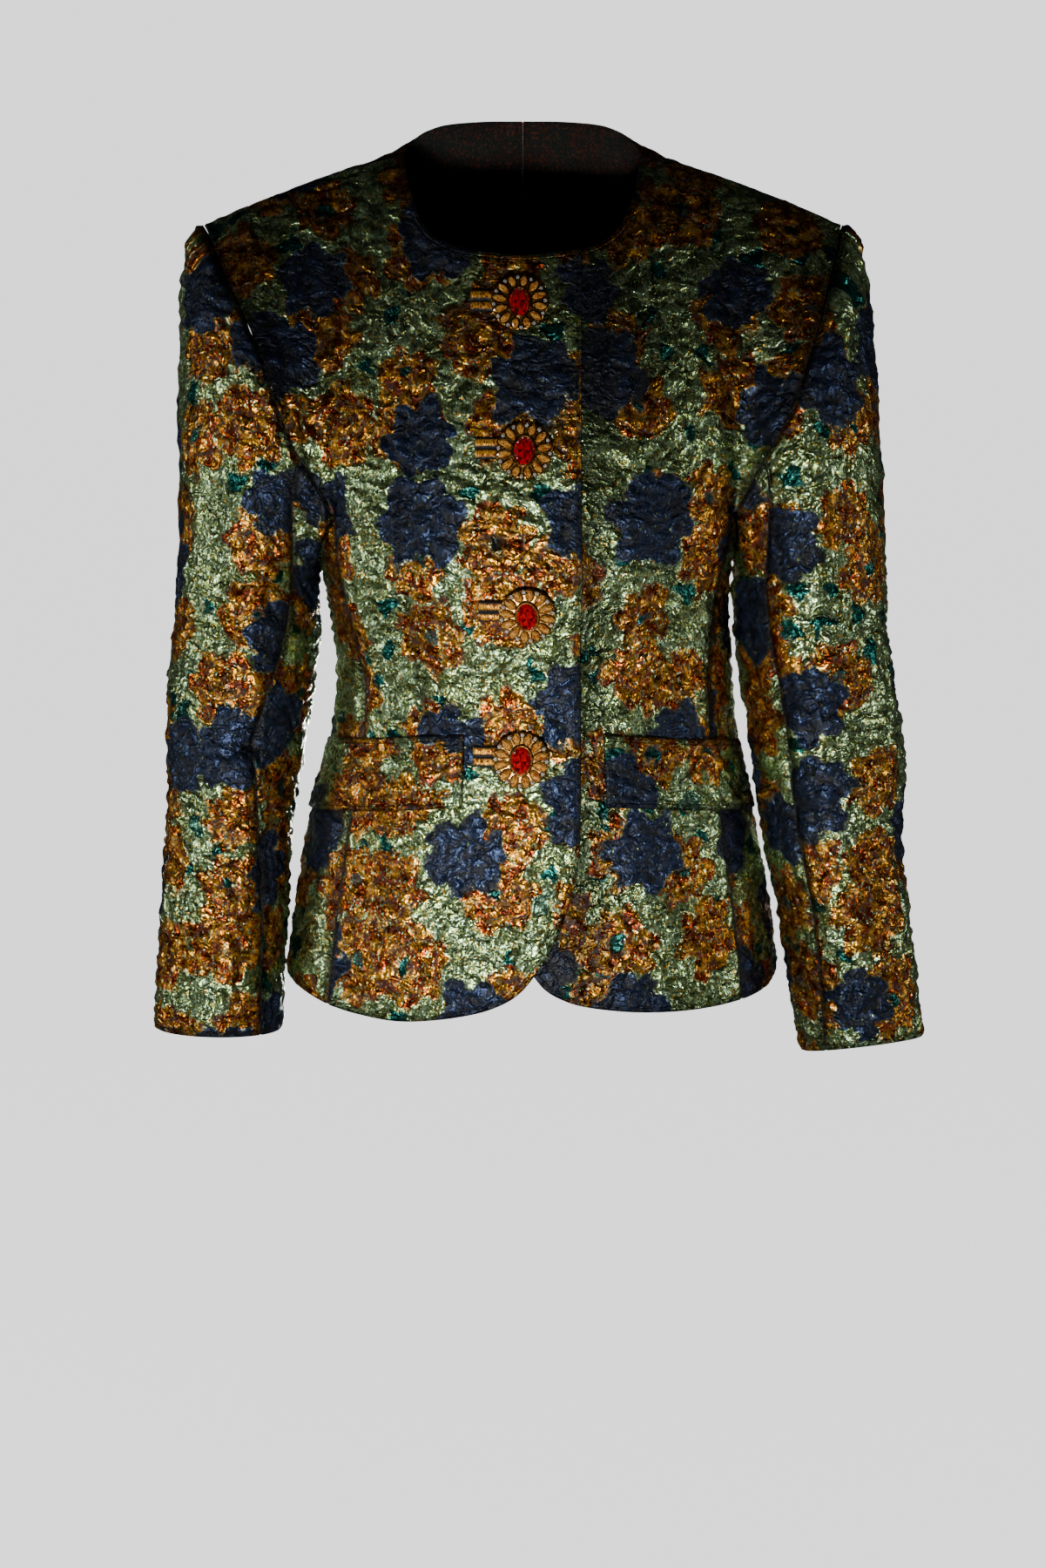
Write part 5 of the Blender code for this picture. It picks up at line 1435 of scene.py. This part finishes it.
def build_setting(jewel):
    """The antique gold plate with its scalloped rim, and the bezels as round wires about the stones.
    """
    segments = PETALS * 8
    turns = np.arange(segments) * 2 * math.pi / segments
    scallop = 0.35 * np.cos(PETALS * (turns - math.pi / PETALS))
    profile = [(0.0, 0.0), (BUTTON_RADIUS - 2.4, 0.0), (BUTTON_RADIUS - 0.7, 0.5),
               (BUTTON_RADIUS - 0.4, 1.2), (BUTTON_RADIUS - 0.9, 1.8), (BUTTON_RADIUS - 1.8, 2.0),
               (13.0, 1.7), (9.5, 2.2), (5.0, 2.4), (0.0, 2.4)]
    points, faces = [], []
    rings = len(profile)
    for radius, height in profile:
        reach = radius + scallop * (radius > 14.0)
        points += np.stack([reach * np.cos(turns), reach * np.sin(turns),
                            np.full(segments, height)], axis=-1).tolist()
    for ring in range(rings - 1):
        for s in range(segments):
            a, b = ring * segments + s, ring * segments + (s + 1) % segments
            faces.append([a, b, b + segments, a + segments])
    jewel.add(points, faces)
    oval = outline((0, 0), 0.0, STONE_HALF, STONE_HEIGHT[0] - 0.2, 40, 0.0, 0.35)
    jewel.add(*tube_points(oval, 0.55))
    collar = outline((0, 0), 0.0, STONE_HALF, STONE_HEIGHT[0] - 1.1, 40, 0.0, 0.75)
    jewel.add(*tube_points(collar, 0.7))
    for turn, inner, outer in petal_places():
        half = ((outer - inner) / 2, NAVETTE_HALF)
        middle = (inner + outer) / 2
        centre = (middle * math.cos(turn), middle * math.sin(turn))
        line = outline(centre, turn, half, NAVETTE_HEIGHT[0] - 0.15, 20, 0.35, 0.28)
        jewel.add(*tube_points(line, BEAD, 6))
        side = turn + math.pi / PETALS
        place = (CRYSTAL_PLACE * math.cos(side), CRYSTAL_PLACE * math.sin(side))
        cup = outline(place, 0.0, (CRYSTAL_RADIUS, CRYSTAL_RADIUS), CRYSTAL_HEIGHT[0], 12, 0.0, 0.2)
        jewel.add(*tube_points(cup, 0.4, 6))


def build_buttons():
    for number, (x, z, turn) in enumerate(BUTTONS, 1):
        point, normal, right, up = button_frame(x, z, turn)
        back = point + normal * (2 * OVER_GAP + 1.5)
        setting = Jewel(back, right, up, normal)
        build_setting(setting)
        piece = setting.build("button_setting_%d" % number, MATERIAL["gold"],
                              "button_%d" % number, True)
        oval = Jewel(back, right, up, normal)
        oval.add(*cut_stone((0, 0), 0.0, STONE_HALF, STONE_HEIGHT, 12))
        piece = oval.build("oval_stone_%d" % number, MATERIAL["red"], "stone_%d" % number,
                           False, True)
        amber = Jewel(back, right, up, normal)
        clear = Jewel(back, right, up, normal)
        for petal, inner, outer in petal_places():
            middle = (inner + outer) / 2
            centre = (middle * math.cos(petal), middle * math.sin(petal))
            amber.add(*cut_stone(centre, petal, ((outer - inner) / 2, NAVETTE_HALF),
                                 NAVETTE_HEIGHT, 8, 0.35))
            side = petal + math.pi / PETALS
            place = (CRYSTAL_PLACE * math.cos(side), CRYSTAL_PLACE * math.sin(side))
            clear.add(*cut_stone(place, 0.0, (CRYSTAL_RADIUS, CRYSTAL_RADIUS), CRYSTAL_HEIGHT, 6))
        for jewel, name, material in ((amber, "navettes", "amber"), (clear, "crystals", "clear")):
            piece = jewel.build("%s_%d" % (name, number), MATERIAL[material], None, False, True)


def start_layout(points, _):
    """First guess of a body piece laid flat: seen from the front or the back."""
    return np.stack([points[:, 0] * 1.15 - points[:, 1] * np.sign(points[:, 0]) * 0.2,
                     points[:, 2]], axis=-1)


def side_layout(points, _):
    """The same for a side piece, seen from its side."""
    return np.stack([points[:, 1] * np.sign(points[:, 0].mean()), points[:, 2]], axis=-1)


def grid_layout(cloth, width, height):
    """First guess of a piece made of one grid: a plain rectangle."""
    grid = cloth.own[0]
    place = np.zeros((len(cloth.points), 2))
    across = np.linspace(0, width, grid.shape[0])[:, None] + 0 * grid
    down = -np.linspace(0, height, grid.shape[1])[None, :] + 0 * grid
    place[grid] = np.stack([across, down], axis=-1)
    return lambda _, ids: place[ids].copy()


def armhole_line(side):
    curves = side_curves(side)
    shares = np.linspace(0, 1, 90)
    foot = body_point(*np.array([armhole_foot(side, s) for s in np.linspace(0, 1, 40)]).T)
    return [curves["arm_front"].at(shares), curves["arm_back"].at(shares), foot]


def dart_line(side):
    return body_point([angle_at_x(x, z) for x, z in DARTS[side]], [z for _, z in DARTS[side]])


def covered(points):
    """Share of the relief that is left under the flaps, the lips and the buttons."""
    left = np.ones(len(points))
    x, z = points[:, 0], points[:, 2]
    front = points[:, 1] < 40
    for _, side, front_x, top, drop, height, _ in FLAPS:
        reach = abs(front_x) + 95.0
        share = np.clip((side * x - abs(front_x)) / (reach - abs(front_x)), 0, 1)
        level = top - drop * share ** 1.3 - height / 2
        inside = (np.clip((side * x - abs(front_x)) / 4, 0, 1)
                  * np.clip((height / 2 - np.abs(z - level)) / 5, 0, 1))
        left = np.where(front, np.minimum(left, 1 - 0.75 * inside), left)
    for bx, bz, _ in BUTTONS:
        lips = (np.clip((x - bx + HOLE_LEFT + 2) / 3, 0, 1) * np.clip((bx + 14 - x) / 3, 0, 1)
                * np.clip((9.5 - np.abs(z - bz - HOLE_RISE)) / 2.5, 0, 1))
        disc = np.clip((20.5 - np.hypot(x - bx, z - bz)) / 3, 0, 1)
        left = np.where(points[:, 1] < 0, np.minimum(left, 1 - 0.9 * np.maximum(lips, disc)), left)
    return left


def build_body():
    grid, ring, half, tip = yoke_grid()
    count = 2 * half
    fine = refine(refine(grid, 0, cyclic=True), 1)
    back = tip + ARM_BACK_COLS

    def strip(side, first, last):
        columns = [side * k % (FINE * count) for k in range(FINE * first, FINE * last + 1)]
        return fine[columns].copy()

    pieces = []
    for side, name in ((-1, "right"), (1, "left")):
        front_ring = fine_ring([ring[side * k % count]
                                for k in range(-EDGE_COLS, EDGE_COLS + CHEST_COLS + 1)])
        back_ring = [ring[side * k % count] for k in range(back, half + 1)]
        back_ring[-1] = side * 180.0
        back_ring = fine_ring(back_ring)
        front_yoke = strip(side, -EDGE_COLS, tip)
        back_yoke = strip(side, tip, half)
        front_body = on_body(front_patch(side, front_ring))
        side_body = on_body(side_patch(side))
        back_body = on_body(back_patch(side, back_ring))
        front_yoke[:len(front_ring), -1] = front_body[:, 0]
        back_yoke[-len(back_ring):, -1] = back_body[:, 0]
        front_yoke[len(front_ring) - 1:, -1] = arm_row(side, "arm_front", ARM_FRONT_COLS, True)
        back_yoke[:FINE * ARM_BACK_COLS + 1, -1] = arm_row(side, "arm_back", ARM_BACK_COLS, False)
        beyond = [strip(side, half, half + 2), body_point(
            side * 180.0 + side * np.linspace(0, 8, 2 * FINE + 1)[:, None],
            np.linspace(CHEST_Z, back_patch(side, back_ring)[-1, -1, 1],
                        FINE * BODY_ROWS + 1)[None, :])]
        front = [front_yoke, front_body]
        back_grids = [back_yoke, back_body]
        hole = armhole_line(side)
        turned = side < 0
        for piece, grids, others, dart, start in (
                ("front", front, back_grids + [side_body], [dart_line(side)], start_layout),
                ("side", [side_body], front + back_grids, [], side_layout),
                ("back", back_grids, front + [side_body] + beyond, [], start_layout)):
            node = "%s_%s" % (piece, name)
            cloth = Cloth(grids, others, turned)
            cloth.flatten(start)
            lap = under_lap(cloth.points) if node == "front_left" else None
            panel = (400.0 * len(pieces), 130.0 * len(pieces))
            obj = dress("cloth_" + node, cloth, node, panel, "body",
                        {"armhole": hole, "dart": dart}, lap=lap, dull=covered(cloth.points))
            pieces.append((obj, cloth))
    return pieces


def arm_row(side, name, columns, downward):
    """The armhole line at the fine columns, from the body seam up or from the tip down."""
    share = np.linspace(0, 1, FINE * columns + 1)
    return side_curves(side)[name].at(1 - share if downward else share)


def build_sleeves():
    pieces = []
    for side, name in ((-1, "right"), (1, "left")):
        grid, (_, front_seam, _, back_seam, total) = sleeve_grid(side)
        fine = refine(refine(grid, 0, cyclic=True), 1)
        whole = FINE * total
        upper = fine[[k % whole for k in range(FINE * back_seam, FINE * (total + front_seam) + 1)]]
        under = fine[FINE * front_seam:FINE * back_seam + 1]
        for piece, own, other in (("upper", upper, under), ("under", under, upper)):
            node = "sleeve_%s_%s" % (name, piece)
            cloth = Cloth([own], [other], side > 0)
            width = np.linalg.norm(np.diff(own[:, FINE * 9], axis=0), axis=1).sum()
            height = np.linalg.norm(np.diff(own[len(own) // 2], axis=0), axis=1).sum()
            cloth.flatten(grid_layout(cloth, width, height))
            panel = (400.0 * len(pieces) + 200.0, 2000.0 + 170.0 * len(pieces))
            obj = dress("cloth_" + node, cloth, node, panel, "sleeve",
                        {"armhole": armhole_line(side), "dart": []})
            pieces.append((obj, cloth))
    return pieces


def build_flaps():
    pieces = []
    for name, side, front_x, top, drop, height, end in FLAPS:
        start = angle_at_x(front_x, top)
        along = np.linspace(0, 1, FINE * FLAP_COLS + 1)[:, None]
        down = np.linspace(0, 1, FINE * FLAP_ROWS + 1)[None, :]
        angles = start + (side * end - start) * along + 0 * down
        grid = body_point(angles, top - drop * along ** 1.3 - height * down)
        cloth = Cloth([grid], [], side < 0)
        width = np.linalg.norm(np.diff(grid[:, 0], axis=0), axis=1).sum()
        cloth.flatten(grid_layout(cloth, width, height))
        out = np.zeros(len(cloth.points))
        out[cloth.own[0]] = OVER_GAP + WALL + FLAP_LIFT * down ** 2 + 0 * along
        panel = (300.0 * len(pieces), 4000.0)
        obj = dress("cloth_" + name, cloth, name, panel, "flap",
                    {"armhole": [], "dart": []}, 0.75, out=out)
        pieces.append((obj, cloth))
    return pieces


def build_stage():
    """A plain pale floor that curves up, far out, into a pale wall all round."""
    profile = [(0.01, 0.0), (FLOOR_RADIUS, 0.0)]
    for k in range(1, 9):
        turn = math.pi / 2 * k / 8
        profile.append((FLOOR_RADIUS + FLOOR_BEND * math.sin(turn), FLOOR_BEND * (1 - math.cos(turn))))
    profile.append((FLOOR_RADIUS + FLOOR_BEND, FLOOR_WALL))
    sides = 48
    points = [(r * math.cos(2 * math.pi * k / sides), r * math.sin(2 * math.pi * k / sides),
               FLOOR_LEVEL + z) for r, z in profile for k in range(sides)]
    faces = []
    for ring in range(len(profile) - 1):
        for k in range(sides):
            a, b = ring * sides + k, ring * sides + (k + 1) % sides
            faces.append([a, b, b + sides, a + sides])
    faces.append(list(range(sides))[::-1])
    mesh = bpy.data.meshes.new("studio_floor")
    mesh.from_pydata(points, [], faces)
    floor = bpy.data.objects.new("studio_floor", mesh)
    bpy.context.scene.collection.objects.link(floor)
    shade(floor, True)
    paper = Graph("pale_paper")
    place = paper.node("ShaderNodeTexCoord").outputs["Object"]
    tone = paper.noise(place, 0.8, 2.0)
    paper.put(paper.shader.inputs["Base Color"],
              paper.mix(tone, srgb(0.93, 0.93, 0.93), srgb(0.95, 0.95, 0.95)))
    paper.shader.inputs["Roughness"].default_value = 0.9
    paper.shader.inputs["Emission Color"].default_value = (1.0, 1.0, 1.0, 1.0)
    paper.shader.inputs["Emission Strength"].default_value = FLOOR_GLOW
    mesh.materials.append(paper.material)
    floor.visible_glossy = False
    floor.visible_diffuse = False


def build_light():
    """Narrow lamps low in front and behind, one on each side, and a very dim world."""
    for name, place, aim, size, watts, spread in LIGHTS:
        data = bpy.data.lights.new(name, "AREA")
        data.shape = "SQUARE"
        data.size = size
        data.energy = watts
        data.spread = math.radians(spread)
        lamp = bpy.data.objects.new(name, data)
        bpy.context.scene.collection.objects.link(lamp)
        lamp.location = place
        way = Vector(aim) - Vector(place)
        lamp.rotation_euler = way.to_track_quat("-Z", "Y").to_euler()
    world = bpy.data.worlds.new("studio")
    world.use_nodes = True
    world.node_tree.nodes["Background"].inputs["Color"].default_value = srgb(0.97, 0.98, 1.0)
    world.node_tree.nodes["Background"].inputs["Strength"].default_value = WORLD_GLOW
    bpy.context.scene.world = world


def build_camera():
    """The photo's view: in front, a little above, through a long lens."""
    data = bpy.data.cameras.new("camera")
    data.lens = CAMERA_LENS
    camera = bpy.data.objects.new("camera", data)
    bpy.context.scene.collection.objects.link(camera)
    pitch = math.radians(CAMERA_PITCH)
    camera.location = (CAMERA_AIM[0], CAMERA_AIM[1] - CAMERA_AWAY * math.cos(pitch),
                       CAMERA_AIM[2] + CAMERA_AWAY * math.sin(pitch))
    camera.rotation_euler = (math.pi / 2 - pitch, 0.0, 0.0)
    bpy.context.scene.camera = camera


def main():
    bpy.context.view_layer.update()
    MATERIAL.update({
        "cloth": jacquard_material(), "reverse": reverse_material(), "lips": lip_material(),
        "gold": gold_material(),
        # Stone colours: the first is the painted shaded colour of a facet, the second its painted lit
        # colour
        "red": stone_material("red_stone", srgb(0.18, 0.0, 0.01), srgb(0.72, 0.0, 0.05), 0.15),
        "amber": stone_material("amber_stone", srgb(0.50, 0.22, 0.04), srgb(1.0, 0.74, 0.33), 0.5),
        "clear": stone_material("clear_stone", srgb(0.55, 0.52, 0.46), srgb(1.0, 0.98, 0.93), 0.8),
    })
    build_body()
    build_sleeves()
    build_flaps()
    build_buttonholes()
    build_buttons()
    build_stage()
    build_light()
    build_camera()


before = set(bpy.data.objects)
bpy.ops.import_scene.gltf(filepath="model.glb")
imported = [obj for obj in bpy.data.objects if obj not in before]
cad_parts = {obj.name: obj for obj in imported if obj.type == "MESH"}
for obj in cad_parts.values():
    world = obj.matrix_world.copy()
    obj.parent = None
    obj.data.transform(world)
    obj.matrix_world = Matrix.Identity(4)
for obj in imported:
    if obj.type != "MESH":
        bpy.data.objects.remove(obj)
main()
